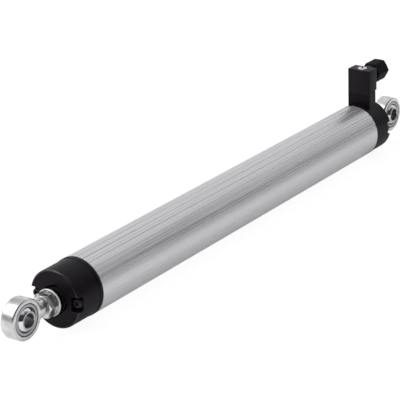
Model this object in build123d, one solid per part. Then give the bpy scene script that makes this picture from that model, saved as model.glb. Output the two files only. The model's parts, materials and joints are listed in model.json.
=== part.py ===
from build123d import *
import math
import os

# Linear potentiometer: a sliding rod position sensor in a round extruded case.
# Millimetres. The origin is the centre of the rear ball. +X runs along the tube towards the
# control rod, +Z points up to the plug connector, +Y runs along the bores of the two eyes.
# The rod is fully retracted.

# Clearances
seat_clearance = 0.02
running_clearance = 0.05
sliding_clearance = 0.3
thread_clearance = 0.1
socket_clearance = 0.1
end_play = 0.1
cut_margin = 1.0

# Case tube, an extrusion
tube_diameter = 35.5
tube_wall = 1.9
tube_length = 300.0
groove_pitch_deg = 13.5
grooves_each_side = 5
groove_radius = 0.5
groove_depth = 0.25
port_wall = 1.05
port_inset = 1.45
rib_thickness = 1.0
rib_overlap = 1.0

# Heads, one moulding each
head_step = 0.35
flange_thickness = 1.4
flange_edge = 0.2
front_head_length = 20.2
rear_head_length = 18.2
head_edge_radius = 1.0
spigot_length = 8.0
gasket_thickness = 0.8
notch_width = 9.0
notch_depth = 4.0
notch_margin = 0.5
rear_cavity_wall = 2.0

# Screws that hold the heads on the tube
head_screw_diameter = 3.0
head_screw_head_diameter = 5.0
head_screw_head_height = 2.6
head_screw_socket = 2.5
head_screw_socket_depth = 1.3
head_screw_engagement = 10.0
screw_hole_clearance = 0.15

# Control rod, its bearing and its seal
rod_diameter = 12.0
rod_stick_out = 4.0
rod_edge = 0.5
bush_wall = 1.95
bush_length = 15.0
recess_step = 0.8
recess_depth = 2.2
seal_thickness = 2.8
seal_lip = 0.8
buffer_thickness = 2.5
buffer_width = 3.0

# Rod ends
ball_diameter = 15.875
ball_width = 12.0
ball_bore = 8.0
ball_bore_edge = 0.4
race_wall = 1.1
race_set_back = 0.2
eye_diameter = 24.0
eye_width = 9.0
eye_crown = 0.4
eye_edge = 0.9
neck_root_distance = 7.5
neck_root_inset = 0.3
neck_root_height = 16.0
neck_round_distance = 12.6
neck_diameter = 11.0
neck_edge = 0.5
eye_to_shoulder = 14.4
shank_diameter = 8.0
shank_length = 20.0
shank_edge = 0.6
lock_nut_width = 13.0
lock_nut_thickness = 6.5
lock_nut_turn_deg = 2.6
front_thread_gap = 2.3
rear_thread_gap = 3.1
washer_diameter = 16.0
washer_thickness = 1.2
rear_insert_diameter = 14.0
rear_insert_length = 15.0
rear_insert_flange = 1.0
rear_insert_flange_thickness = 1.5

# Track board and wiper carriage
board_offset = 8.7
board_thickness = 1.6
board_edge_gap = 0.55
board_front_overlap = 2.0
board_rear_overlap = 7.0
track_thickness = 0.1
track_width = 4.0
track_offset = 4.0
trace_width = 1.0
track_end_gap = 1.0
carriage_length = 24.0
coupling_wall = 4.0
coupling_neck_diameter = 6.0
coupling_button_diameter = 9.2
coupling_button_length = 3.0
contact_plate_length = 8.0
contact_plate_width = 13.0
contact_thickness = 0.3
contact_finger_length = 8.0
contact_finger_width = 1.2
contact_finger_pitch = 1.8
contact_tip_length = 0.8
contact_inset = 6.5
wiper_screw_diameter = 2.0
wiper_screw_head_diameter = 3.6
wiper_screw_head_height = 0.5
wiper_screw_length = 3.0

# Plug connector
plug_width = 17.0
plug_depth = 10.0
plug_height = 15.0
plug_wall = 1.3
plug_edge = 0.7
plug_front_setback = 5.0
plug_top_wall = 3.0
pedestal_depth = 8.5
pedestal_height = 10.9
pedestal_wall = 1.0
carrier_height = 5.0
flat_gasket_thickness = 1.0
blade_thickness = 0.8
blade_width = 2.4
blade_height = 5.4
blade_tail = 1.1
blade_spread_x = 2.6
blade_spread_y = 4.0
insert_height = 5.5
sleeve_wall = 0.3
centre_screw_diameter = 2.5
centre_screw_head_diameter = 6.4
centre_screw_head_height = 1.8
centre_screw_recess = 1.4
centre_screw_edge = 0.4
centre_screw_slot = 0.9
centre_screw_slot_depth = 0.9
centre_screw_engagement = 3.6

# Cable gland on the plug
gland_nut_width = 13.0
gland_nut_length = 13.0
gland_nut_edge = 0.6
gland_nut_end_wall = 2.0
gland_nut_hole = 6.8
gland_boss_diameter = 11.6
gland_boss_length = 5.5
gland_thread_diameter = 10.0
grommet_diameter = 8.0
grommet_bore = 5.2
grommet_length = 6.0
gland_washer_thickness = 0.7
cable_passage_diameter = 6.4
gland_top_rise = 0.1

# Wires from the board to the blades
wire_diameter = 1.2
wire_board_inset = 3.0
wire_run_height = 12.2
wire_channel_width = 10.4
wire_channel_gap = 1.4

# Radii
tube_radius = tube_diameter / 2
bore_radius = tube_radius - tube_wall
head_radius = tube_radius - head_step
spigot_radius = bore_radius - socket_clearance
rod_radius = rod_diameter / 2
shank_radius = shank_diameter / 2
thread_hole_radius = shank_radius + thread_clearance
ball_radius = ball_diameter / 2
socket_radius = ball_radius + running_clearance
race_radius = socket_radius + race_wall
eye_radius = eye_diameter / 2
neck_radius = neck_diameter / 2
bush_radius = rod_radius + running_clearance + bush_wall
recess_radius = bush_radius + recess_step
head_screw_radius = head_screw_diameter / 2
head_screw_head_radius = head_screw_head_diameter / 2
port_hole_radius = head_screw_radius + thread_clearance / 2
port_radius = port_hole_radius + port_wall
port_offset = bore_radius - port_inset
notch_inner_radius = port_offset - head_screw_head_radius - notch_margin
buffer_outer_radius = port_offset - port_radius - sliding_clearance
buffer_inner_radius = buffer_outer_radius - buffer_width
insert_radius = rear_insert_diameter / 2
insert_flange_radius = insert_radius + rear_insert_flange
button_radius = coupling_button_diameter / 2
coupling_neck_radius = coupling_neck_diameter / 2

# Stations along the tube
rear_face_x = eye_to_shoulder + rear_thread_gap + lock_nut_thickness
rear_seat_x = rear_face_x + rear_head_length
tube_rear_x = rear_seat_x + gasket_thickness
tube_front_x = tube_rear_x + tube_length
front_seat_x = tube_front_x + gasket_thickness
front_face_x = front_seat_x + front_head_length
rear_spigot_x = tube_rear_x + spigot_length
front_spigot_x = tube_front_x - spigot_length
rod_front_x = front_face_x + rod_stick_out
washer_front_x = rod_front_x + washer_thickness
front_nut_x = washer_front_x + lock_nut_thickness
front_shoulder_x = front_nut_x + front_thread_gap
front_eye_x = front_shoulder_x + eye_to_shoulder
seal_front_x = front_face_x - recess_depth
bush_front_x = seal_front_x - seal_thickness
bush_rear_x = bush_front_x - bush_length
carriage_rear_x = rear_spigot_x + buffer_thickness + end_play
carriage_front_x = carriage_rear_x + carriage_length
coupling_pocket_x = carriage_front_x - coupling_wall
button_front_x = coupling_pocket_x - end_play
button_rear_x = button_front_x - coupling_button_length
rod_shoulder_x = carriage_front_x + end_play

# Levels inside the tube
board_top_z = -board_offset
board_bottom_z = board_top_z - board_thickness
board_half_width = math.sqrt(bore_radius**2 - board_bottom_z**2) - board_edge_gap
rib_inner_y = board_half_width - rib_overlap
rib_top_z = board_top_z + socket_clearance + rib_thickness
rib_bottom_z = board_bottom_z - socket_clearance - rib_thickness
carriage_floor_z = rib_top_z + sliding_clearance
track_top_z = board_top_z + track_thickness
board_rear_x = rear_spigot_x - board_rear_overlap
board_front_x = front_spigot_x + board_front_overlap

# Connector places
plug_front_x = tube_rear_x - plug_front_setback
plug_back_x = plug_front_x - plug_depth
plug_centre_x = (plug_front_x + plug_back_x) / 2
plug_half_width = plug_width / 2
pedestal_back_x = plug_front_x - pedestal_depth
pedestal_foot_z = math.sqrt(head_radius**2 - plug_half_width**2)
pedestal_top_z = pedestal_foot_z + pedestal_height
carrier_bottom_z = pedestal_top_z - carrier_height
plug_bottom_z = pedestal_top_z + flat_gasket_thickness
plug_top_z = plug_bottom_z + plug_height
blade_top_z = plug_bottom_z + blade_height
blade_bottom_z = carrier_bottom_z - blade_tail
gland_centre_z = plug_top_z + gland_top_rise - gland_nut_width / 2
gland_nut_front_x = plug_back_x - gland_boss_length
gland_nut_rear_x = gland_nut_front_x - gland_nut_length
gland_washer_x = gland_nut_rear_x + gland_nut_end_wall
grommet_rear_x = gland_washer_x + gland_washer_thickness
grommet_front_x = grommet_rear_x + grommet_length
gland_thread_radius = gland_thread_diameter / 2
centre_screw_radius = centre_screw_diameter / 2
centre_screw_head_radius = centre_screw_head_diameter / 2
centre_screw_seat_z = plug_top_z - centre_screw_recess
wire_x = board_rear_x + wire_board_inset


def block(x0, x1, y0, y1, z0, z1):
    """Box between two corners."""
    centre = Pos((x0 + x1) / 2, (y0 + y1) / 2, (z0 + z1) / 2)
    return centre * Box(abs(x1 - x0), abs(y1 - y0), abs(z1 - z0))


def bar_x(x0, x1, radius, y=0.0, z=0.0):
    """Round bar along X."""
    return Pos((x0 + x1) / 2, y, z) * Rot(0, 90, 0) * Cylinder(radius, abs(x1 - x0))


def bar_y(y0, y1, radius, x=0.0, z=0.0):
    """Round bar along Y."""
    return Pos(x, (y0 + y1) / 2, z) * Rot(90, 0, 0) * Cylinder(radius, abs(y1 - y0))


def bar_z(z0, z1, radius, x=0.0, y=0.0):
    """Round bar along Z."""
    return Pos(x, y, (z0 + z1) / 2) * Cylinder(radius, abs(z1 - z0))


def turned_x(profile):
    """Turned piece about X from (x, radius) points."""
    outline = Polyline(*[(x, 0, radius) for x, radius in profile], close=True)
    return revolve(make_face(outline), Axis.X, 360)


def turned_y(profile):
    """Turned piece about Y from (radius, y) points."""
    outline = Polyline(*[(radius, y, 0) for radius, y in profile], close=True)
    return revolve(make_face(outline), Axis.Y, 360)


def ring_x(x0, x1, outer, inner, edge=0.0):
    """Turned ring about X with its outer edges broken."""
    if edge == 0.0:
        return bar_x(x0, x1, outer) - bar_x(x0, x1, inner)
    return turned_x(
        [
            (x0, inner),
            (x0, outer - edge),
            (x0 + edge, outer),
            (x1 - edge, outer),
            (x1, outer - edge),
            (x1, inner),
        ]
    )


def hexagon_x(x0, x1, width, turn_deg, edge):
    """Hexagon bar along X, its corners chamfered at 30 degrees at both ends."""
    flat = Plane.YZ * RegularPolygon(width / 2, 6, major_radius=False, rotation=turn_deg)
    bar = Pos(x0, 0, 0) * extrude(flat, x1 - x0)
    corner_radius = width / math.sqrt(3)
    face_radius = width / 2 - edge / 2
    slope = (corner_radius - face_radius) * math.tan(math.radians(30))
    envelope = turned_x(
        [
            (x0, 0),
            (x0, face_radius),
            (x0 + slope, corner_radius),
            (x1 - slope, corner_radius),
            (x1, face_radius),
            (x1, 0),
        ]
    )
    return bar & envelope


# Case tube

def make_body_tube():
    """Extruded case with two screw ports, two pairs of board ribs and fine outer grooves."""
    section = Circle(tube_radius) - Circle(bore_radius)
    for side in (-1, 1):
        section += Pos(side * port_offset, 0) * Circle(port_radius)
        rib_width = tube_radius - rib_inner_y
        rib_y = side * (rib_inner_y + rib_width / 2)
        for rib_z in (rib_top_z - rib_thickness / 2, rib_bottom_z + rib_thickness / 2):
            section += Pos(rib_y, rib_z) * Rectangle(rib_width, rib_thickness)
    section = section & Circle(tube_radius)
    for side in (-1, 1):
        section -= Pos(side * port_offset, 0) * Circle(port_hole_radius)
    groove_centre = tube_radius + groove_radius - groove_depth
    for step in range(-grooves_each_side, grooves_each_side + 1):
        angle = step * groove_pitch_deg
        section -= Rot(0, 0, angle) * Pos(0, groove_centre) * Circle(groove_radius)
    return Pos(tube_rear_x, 0, 0) * extrude(Plane.YZ * section, tube_length)


# Heads, drawn with the seat at zero and the outer face towards +X

def make_head_blank(length):
    """Flange, round body, spigot with its cut-outs, side notches and screw holes."""
    head = turned_x(
        [
            (0, 0),
            (0, tube_radius),
            (flange_thickness - flange_edge, tube_radius),
            (flange_thickness, tube_radius - flange_edge),
            (flange_thickness, head_radius),
            (length, head_radius),
            (length, 0),
        ]
    )
    outer_edge = head.edges().filter_by(GeomType.CIRCLE).sort_by(Axis.X)[-1]
    head = fillet(outer_edge, head_edge_radius)
    spigot_end = -gasket_thickness - spigot_length
    spigot = bar_x(spigot_end, 0, spigot_radius)
    for side in (-1, 1):
        spigot -= bar_x(
            spigot_end, 0, port_radius + socket_clearance, side * port_offset
        )
        spigot -= block(
            spigot_end,
            0,
            side * (rib_inner_y - sliding_clearance),
            side * bore_radius,
            rib_bottom_z - socket_clearance,
            carriage_floor_z,
        )
    head += spigot
    notch_floor = length - notch_depth
    hole_radius = head_screw_radius + screw_hole_clearance
    for side in (-1, 1):
        head -= block(
            notch_floor,
            length + cut_margin,
            side * notch_inner_radius,
            side * (tube_radius + cut_margin),
            -notch_width / 2,
            notch_width / 2,
        )
        head -= bar_x(-cut_margin, notch_floor + cut_margin, hole_radius, side * port_offset)
    return head


def make_gasket():
    """Flat ring between the tube's end and a head's flange."""
    return ring_x(-gasket_thickness, 0, tube_radius, bore_radius)


def make_head_screws(length):
    """Two socket screws, from the notch floors into the tube's screw ports."""
    seat = length - notch_depth
    top = seat + head_screw_head_height
    socket = Plane.YZ * RegularPolygon(head_screw_socket / 2, 6, major_radius=False)
    screws = []
    for side in (-1, 1):
        axis_y = side * port_offset
        screw = bar_x(seat, top, head_screw_head_radius, axis_y)
        screw += bar_x(
            -gasket_thickness - head_screw_engagement, seat, head_screw_radius, axis_y
        )
        hollow = extrude(socket, head_screw_socket_depth)
        screw -= Pos(top - head_screw_socket_depth, axis_y, 0) * hollow
        screws.append(screw)
    return Compound(children=screws)


front_place = Pos(front_seat_x, 0, 0)
rear_place = Pos(rear_seat_x, 0, 0) * Rot(0, 0, 180)


def board_slot(x0, x1):
    """Clearance for the board's edges in a spigot."""
    return block(
        x0,
        x1,
        -board_half_width - socket_clearance,
        board_half_width + socket_clearance,
        board_bottom_z - socket_clearance,
        board_top_z + socket_clearance,
    )


def make_front_head():
    """Front head with a stepped bore for the seal, the bush and the rod."""
    head = front_place * make_head_blank(front_head_length)
    head -= bar_x(bush_front_x, front_face_x + cut_margin, recess_radius)
    head -= bar_x(bush_rear_x, front_face_x, bush_radius + seat_clearance)
    head -= bar_x(
        front_spigot_x - cut_margin, front_face_x, rod_radius + sliding_clearance
    )
    head -= board_slot(front_spigot_x - cut_margin, board_front_x + socket_clearance)
    return head


def make_rear_head():
    """Rear head with its insert seat, wire space and the pedestal under the plug."""
    head = rear_place * make_head_blank(rear_head_length)
    pedestal = block(
        pedestal_back_x,
        plug_front_x,
        -plug_half_width,
        plug_half_width,
        0,
        pedestal_top_z,
    )
    upright = pedestal.edges().filter_by(Axis.Z)
    head += fillet(upright, plug_edge)
    insert_end_x = rear_face_x + rear_insert_length
    head -= bar_x(rear_face_x - cut_margin, insert_end_x, insert_radius + seat_clearance)
    head -= bar_x(
        rear_face_x - cut_margin,
        rear_face_x + rear_insert_flange_thickness,
        insert_flange_radius + seat_clearance,
    )
    cavity_x = insert_end_x + rear_cavity_wall
    head -= bar_x(cavity_x, rear_spigot_x + cut_margin, buffer_inner_radius)
    half_channel = wire_channel_width / 2
    channel_top = wire_run_height + wire_channel_gap
    head -= block(
        cavity_x,
        rear_spigot_x + cut_margin,
        -half_channel,
        half_channel,
        board_top_z,
        channel_top,
    )
    shaft_back_x = pedestal_back_x + pedestal_wall
    channel_floor = insert_flange_radius + pedestal_wall
    head -= block(
        shaft_back_x, cavity_x + cut_margin, -half_channel, half_channel, channel_floor, channel_top
    )
    head -= block(
        shaft_back_x,
        plug_front_x - pedestal_wall,
        -half_channel,
        half_channel,
        channel_floor,
        carrier_bottom_z + cut_margin,
    )
    head -= block(
        shaft_back_x,
        plug_front_x - pedestal_wall,
        pedestal_wall - plug_half_width,
        plug_half_width - pedestal_wall,
        carrier_bottom_z,
        pedestal_top_z + cut_margin,
    )
    head -= board_slot(board_rear_x - socket_clearance, rear_spigot_x + cut_margin)
    return head


def make_buffer(x0, x1):
    """Rubber end stop, open at the bottom where the board passes."""
    outer = buffer_outer_radius
    pad = ring_x(x0, x1, outer, buffer_inner_radius)
    return pad - block(x0, x1, -outer, outer, -outer, carriage_floor_z)


# Rod bearing and seal

def make_guide_bush():
    """Plain bearing of the control rod."""
    return ring_x(bush_rear_x, bush_front_x, bush_radius, rod_radius + running_clearance, 0.3)


def make_wiper_seal():
    """Rubber ring with a raised lip round the rod."""
    outer = recess_radius - seat_clearance
    inner = rod_radius + running_clearance
    lip_outer = inner + seal_lip
    lip_front = seal_front_x + seal_lip
    valley = seal_front_x - seal_lip
    return turned_x(
        [
            (bush_front_x, inner + seal_lip),
            (bush_front_x, outer),
            (seal_front_x, outer),
            (seal_front_x, outer - seal_lip),
            (valley, lip_outer + seal_lip / 2),
            (lip_front, lip_outer),
            (lip_front, inner),
            (valley, inner),
        ]
    )


# Rod ends, drawn about the ball's centre with the shank towards +X

def make_rod_end():
    """Eye, forged neck and shank in one piece."""
    half = eye_width / 2
    seat = race_radius + seat_clearance
    rim = eye_radius - eye_crown
    sides = Polyline(
        (rim, half - eye_edge, 0),
        (rim - eye_edge, half, 0),
        (seat, half, 0),
        (seat, -half, 0),
        (rim - eye_edge, -half, 0),
        (rim, eye_edge - half, 0),
    )
    crown = ThreePointArc((rim, eye_edge - half, 0), (eye_radius, 0, 0), (rim, half - eye_edge, 0))
    eye = revolve(make_face(sides + crown), Axis.Y, 360)
    root_plane = Plane(origin=(neck_root_distance, 0, 0), x_dir=(0, 1, 0), z_dir=(1, 0, 0))
    round_plane = Plane(origin=(neck_round_distance, 0, 0), x_dir=(0, 1, 0), z_dir=(1, 0, 0))
    root_width = eye_width - 2 * neck_root_inset
    root = root_plane * RectangleRounded(root_width, neck_root_height, eye_edge)
    collar = round_plane * Circle(neck_radius)
    neck = loft([root, collar])
    neck += bar_x(neck_round_distance, eye_to_shoulder, neck_radius)
    body = eye + neck
    body -= bar_y(-eye_radius, eye_radius, seat)
    shoulder = body.edges().filter_by(GeomType.CIRCLE).sort_by(Axis.X)[-1]
    body = chamfer(shoulder, neck_edge)
    shank_end = eye_to_shoulder + shank_length
    shank = turned_x(
        [
            (neck_round_distance, 0),
            (neck_round_distance, shank_radius),
            (shank_end - shank_edge, shank_radius),
            (shank_end, shank_radius - shank_edge),
            (shank_end, 0),
        ]
    )
    return body + shank


def make_race():
    """Bearing ring with a spherical bore."""
    half = eye_width / 2 - race_set_back
    ring = bar_y(-half, half, race_radius)
    return ring - Sphere(socket_radius)


def make_ball():
    """Ball with two flat faces and a bore with broken edges."""
    half = ball_width / 2
    ball = Sphere(ball_radius) & block(
        -ball_radius, ball_radius, -half, half, -ball_radius, ball_radius
    )
    bore_radius_wide = ball_bore / 2 + ball_bore_edge
    bore = turned_y(
        [
            (0, -half),
            (bore_radius_wide, -half),
            (ball_bore / 2, -half + ball_bore_edge),
            (ball_bore / 2, half - ball_bore_edge),
            (bore_radius_wide, half),
            (0, half),
        ]
    )
    return ball - bore


front_eye_place = Pos(front_eye_x, 0, 0) * Rot(0, 0, 180)


def make_lock_nut(x0, x1):
    """Hexagon nut on a shank."""
    nut = hexagon_x(x0, x1, lock_nut_width, lock_nut_turn_deg, 0.4)
    return nut - bar_x(x0, x1, thread_hole_radius)


def make_rear_insert():
    """Metal insert with the rear rod end's thread and a flange at the face."""
    end_x = rear_face_x + rear_insert_length
    flange_x = rear_face_x + rear_insert_flange_thickness
    insert = bar_x(rear_face_x, end_x, insert_radius)
    insert += bar_x(rear_face_x, flange_x, insert_flange_radius)
    hole_end = min(eye_to_shoulder + shank_length + end_play, end_x - rear_insert_flange)
    return insert - bar_x(rear_face_x, hole_end, thread_hole_radius)


# Control rod

def make_control_rod():
    """Rod with a tapped front end and a neck and button at the back for the carriage."""
    rod = turned_x(
        [
            (button_rear_x, 0),
            (button_rear_x, button_radius),
            (button_front_x, button_radius),
            (button_front_x, coupling_neck_radius),
            (rod_shoulder_x, coupling_neck_radius),
            (rod_shoulder_x, rod_radius - rod_edge),
            (rod_shoulder_x + rod_edge, rod_radius),
            (rod_front_x - rod_edge, rod_radius),
            (rod_front_x, rod_radius - rod_edge),
            (rod_front_x, 0),
        ]
    )
    hole_end = front_shoulder_x - shank_length - rod_edge
    return rod - bar_x(hole_end, rod_front_x, thread_hole_radius)


# Track board

def strip(x0, x1, y_centre, width):
    """Printed strip on the board."""
    return block(
        x0, x1, y_centre - width / 2, y_centre + width / 2, board_top_z, track_top_z
    )


def make_board():
    """Plain board, carried in the tube's ribs."""
    return block(
        board_rear_x,
        board_front_x,
        -board_half_width,
        board_half_width,
        board_bottom_z,
        board_top_z,
    )


strip_rear_x = board_rear_x + track_end_gap
strip_front_x = board_front_x - track_end_gap


def make_resistive_track():
    """Resistive strip, joined to the return trace at its front end."""
    return strip(strip_rear_x, strip_front_x - trace_width, -track_offset, track_width)


def make_collector_track():
    """Collector strip."""
    return strip(strip_rear_x, strip_front_x - trace_width, track_offset, track_width)


def make_return_trace():
    """Narrow trace down the middle that brings the resistive strip's far end back."""
    trace = strip(strip_rear_x, strip_front_x, 0, trace_width)
    cross_inner = -track_offset - track_width / 2
    return trace + block(
        strip_front_x - trace_width, strip_front_x, cross_inner, 0, board_top_z, track_top_z
    )


# Wiper carriage

contact_rear_x = carriage_rear_x + contact_inset
contact_front_x = contact_rear_x + contact_plate_length
wiper_screw_x = (contact_rear_x + contact_front_x) / 2


def make_carriage():
    """Slider keyed on the screw ports, with an open pocket for the rod's button."""
    section = Circle(bore_radius - sliding_clearance)
    for side in (-1, 1):
        section -= Pos(side * port_offset, 0) * Circle(port_radius + sliding_clearance)
    section -= Pos(0, carriage_floor_z - bore_radius / 2) * Rectangle(
        2 * bore_radius, bore_radius
    )
    carriage = Pos(carriage_rear_x, 0, 0) * extrude(Plane.YZ * section, carriage_length)
    pocket_radius = button_radius + sliding_clearance
    pocket_rear_x = button_rear_x - end_play
    neck_slot = coupling_neck_radius + sliding_clearance
    carriage -= bar_x(pocket_rear_x, coupling_pocket_x, pocket_radius)
    carriage -= block(
        pocket_rear_x, coupling_pocket_x, -pocket_radius, pocket_radius, 0, bore_radius
    )
    carriage -= bar_x(coupling_pocket_x, carriage_front_x, neck_slot)
    carriage -= block(coupling_pocket_x, carriage_front_x, -neck_slot, neck_slot, 0, bore_radius)
    return carriage - bar_z(
        carriage_floor_z,
        carriage_floor_z + wiper_screw_length,
        wiper_screw_diameter / 2 + seat_clearance,
        wiper_screw_x,
    )


def make_wiper_contacts():
    """Sprung metal plate with two pairs of fingers that reach down to the strips."""
    top = carriage_floor_z
    bottom = top - contact_thickness
    tip = track_top_z + seat_clearance
    tip_x = contact_front_x + contact_finger_length
    plate = block(
        contact_rear_x,
        contact_front_x,
        -contact_plate_width / 2,
        contact_plate_width / 2,
        bottom,
        top,
    )
    bend_x = tip_x - contact_tip_length
    outline = Polyline(
        (contact_front_x, 0, top),
        (bend_x, 0, tip + contact_thickness),
        (tip_x, 0, tip + contact_thickness),
        (tip_x, 0, tip),
        (bend_x, 0, tip),
        (contact_front_x, 0, bottom),
        close=True,
    )
    finger = extrude(make_face(outline), contact_finger_width / 2, both=True)
    for side in (-1, 1):
        for near in (-1, 1):
            finger_y = side * track_offset + near * contact_finger_pitch / 2
            plate += Pos(0, finger_y, 0) * finger
    hole_radius = wiper_screw_diameter / 2 + seat_clearance
    return plate - bar_z(bottom, top, hole_radius, wiper_screw_x)


def make_wiper_screw():
    """Small screw that holds the contact plate under the carriage."""
    seat = carriage_floor_z - contact_thickness
    screw = bar_z(
        seat - wiper_screw_head_height, seat, wiper_screw_head_diameter / 2, wiper_screw_x
    )
    shank_top = carriage_floor_z + wiper_screw_length - end_play
    return screw + bar_z(seat, shank_top, wiper_screw_diameter / 2, wiper_screw_x)


# Plug connector

blade_places = [
    (plug_centre_x, -blade_spread_y, 0),
    (plug_centre_x, blade_spread_y, 0),
    (plug_centre_x + blade_spread_x, 0, 90),
]


def blade_block(place, width, thickness, z0, z1):
    """Upright block on a blade's place, turned with it."""
    x, y, turn = place
    upright = Box(width, thickness, z1 - z0)
    return Pos(x, y, (z0 + z1) / 2) * Rot(0, 0, turn) * upright


def make_pin_carrier():
    """Moulded block in the pedestal's top that holds the blades and the screw's thread."""
    gap = socket_clearance / 2
    carrier = block(
        pedestal_back_x + pedestal_wall + gap,
        plug_front_x - pedestal_wall - gap,
        pedestal_wall - plug_half_width + gap,
        plug_half_width - pedestal_wall - gap,
        carrier_bottom_z,
        pedestal_top_z,
    )
    for place in blade_places:
        carrier -= blade_block(
            place,
            blade_width + 2 * seat_clearance,
            blade_thickness + 2 * seat_clearance,
            carrier_bottom_z - cut_margin,
            pedestal_top_z + cut_margin,
        )
    return carrier - bar_z(
        pedestal_top_z - centre_screw_engagement - end_play,
        pedestal_top_z,
        centre_screw_radius + thread_clearance,
        plug_centre_x,
    )


def make_contact_pins():
    """Three flat blades."""
    pins = []
    for place in blade_places:
        pins.append(
            blade_block(place, blade_width, blade_thickness, blade_bottom_z, blade_top_z)
        )
    return Compound(children=pins)


def make_flat_gasket():
    """Seal between pedestal and plug, with the blades and the screw through it."""
    seal = block(
        pedestal_back_x,
        plug_front_x,
        -plug_half_width,
        plug_half_width,
        pedestal_top_z,
        plug_bottom_z,
    )
    seal = fillet(seal.edges().filter_by(Axis.Z), plug_edge)
    for place in blade_places:
        seal -= blade_block(
            place,
            blade_width + 2 * socket_clearance,
            blade_thickness + 2 * socket_clearance,
            pedestal_top_z - cut_margin,
            plug_bottom_z + cut_margin,
        )
    return seal - bar_z(
        pedestal_top_z, plug_bottom_z, centre_screw_radius + thread_clearance, plug_centre_x
    )


def make_plug_housing():
    """Elbow housing: hollow block, gland boss and threaded stub in one moulding."""
    housing = block(
        plug_back_x, plug_front_x, -plug_half_width, plug_half_width, plug_bottom_z, plug_top_z
    )
    housing = fillet(housing.edges().filter_by(Axis.Z), plug_edge)
    boss_root_x = plug_back_x + plug_wall
    housing += bar_x(
        gland_nut_front_x, boss_root_x, gland_boss_diameter / 2, 0, gland_centre_z
    )
    housing += bar_x(
        grommet_rear_x, gland_nut_front_x, gland_thread_radius, 0, gland_centre_z
    )
    housing -= block(
        plug_back_x + plug_wall,
        plug_front_x - plug_wall,
        plug_wall - plug_half_width,
        plug_half_width - plug_wall,
        plug_bottom_z - cut_margin,
        plug_top_z - plug_top_wall,
    )
    housing -= bar_x(
        grommet_rear_x - cut_margin,
        grommet_front_x,
        grommet_diameter / 2 + seat_clearance,
        0,
        gland_centre_z,
    )
    housing -= bar_x(
        grommet_rear_x,
        boss_root_x + cut_margin,
        cable_passage_diameter / 2,
        0,
        gland_centre_z,
    )
    housing -= bar_z(
        centre_screw_seat_z,
        plug_top_z + cut_margin,
        centre_screw_head_radius + socket_clearance,
        plug_centre_x,
    )
    return housing - bar_z(
        plug_top_z - plug_top_wall - cut_margin,
        plug_top_z,
        centre_screw_radius + thread_clearance,
        plug_centre_x,
    )


def make_contact_insert():
    """Terminal block inside the plug with a pocket for each sleeve and a screw hole."""
    gap = plug_wall + socket_clearance
    insert = block(
        plug_back_x + gap,
        plug_front_x - gap,
        gap - plug_half_width,
        plug_half_width - gap,
        plug_bottom_z,
        plug_bottom_z + insert_height,
    )
    for place in blade_places:
        insert -= blade_block(
            place,
            blade_width + 2 * (sleeve_wall + seat_clearance + running_clearance),
            blade_thickness + 2 * (sleeve_wall + seat_clearance + running_clearance),
            plug_bottom_z - cut_margin,
            plug_bottom_z + insert_height + cut_margin,
        )
    return insert - bar_z(
        plug_bottom_z,
        plug_bottom_z + insert_height,
        centre_screw_radius + thread_clearance,
        plug_centre_x,
    )


def make_contact_sleeves():
    """Sleeves, one round each blade."""
    sleeves = []
    low = plug_bottom_z
    high = plug_bottom_z + insert_height
    for place in blade_places:
        inner_width = blade_width + 2 * running_clearance
        inner_thickness = blade_thickness + 2 * running_clearance
        sleeve = blade_block(
            place, inner_width + 2 * sleeve_wall, inner_thickness + 2 * sleeve_wall, low, high
        )
        sleeve -= blade_block(
            place, inner_width, inner_thickness, low - cut_margin, high + cut_margin
        )
        sleeves.append(sleeve)
    return Compound(children=sleeves)


def make_centre_screw():
    """Long slotted screw, its head sunk in the plug's top, that holds the plug down."""
    head_top = centre_screw_seat_z + centre_screw_head_height
    screw = bar_z(centre_screw_seat_z, head_top, centre_screw_head_radius, plug_centre_x)
    screw = chamfer(screw.edges().sort_by(Axis.Z)[-1], centre_screw_edge)
    foot = pedestal_top_z - centre_screw_engagement
    screw += bar_z(foot, centre_screw_seat_z, centre_screw_radius, plug_centre_x)
    return screw - block(
        plug_centre_x - centre_screw_head_radius,
        plug_centre_x + centre_screw_head_radius,
        -centre_screw_slot / 2,
        centre_screw_slot / 2,
        head_top - centre_screw_slot_depth,
        head_top + cut_margin,
    )


def make_gland_nut():
    """Hexagonal gland nut with an end wall, a flat side up."""
    nut = hexagon_x(gland_nut_rear_x, gland_nut_front_x, gland_nut_width, 0, gland_nut_edge)
    nut = Pos(0, 0, gland_centre_z) * nut
    nut -= bar_x(
        gland_washer_x,
        gland_nut_front_x + cut_margin,
        gland_thread_radius + thread_clearance,
        0,
        gland_centre_z,
    )
    return nut - bar_x(
        gland_nut_rear_x - cut_margin, gland_washer_x, gland_nut_hole / 2, 0, gland_centre_z
    )


def make_gland_washer():
    """Washer between the nut's end wall and the grommet."""
    washer = ring_x(
        gland_washer_x, grommet_rear_x, gland_thread_radius, cable_passage_diameter / 2
    )
    return Pos(0, 0, gland_centre_z) * washer


def make_gland_grommet():
    """Rubber sleeve that grips the cable."""
    grommet = ring_x(grommet_rear_x, grommet_front_x, grommet_diameter / 2, grommet_bore / 2)
    return Pos(0, 0, gland_centre_z) * grommet


# Wires: up from the board, along the channel and up to a blade's tail

def make_wire(y, start_z, blade_x):
    """Round wire of two bends between a strip and a blade."""
    lower_run = wire_run_height - start_z
    long_run = wire_x - blade_x
    upper_run = blade_bottom_z - wire_run_height
    lower_bend = 0.45 * min(lower_run, long_run)
    upper_bend = 0.45 * min(upper_run, long_run)
    path = FilletPolyline(
        (wire_x, y, start_z),
        (wire_x, y, wire_run_height),
        (blade_x, y, wire_run_height),
        (blade_x, y, blade_bottom_z),
        radius=[lower_bend, upper_bend],
    )
    start = Plane(origin=(wire_x, y, start_z), x_dir=(1, 0, 0), z_dir=(0, 0, 1))
    return sweep(start * Circle(wire_diameter / 2), path)


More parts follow.
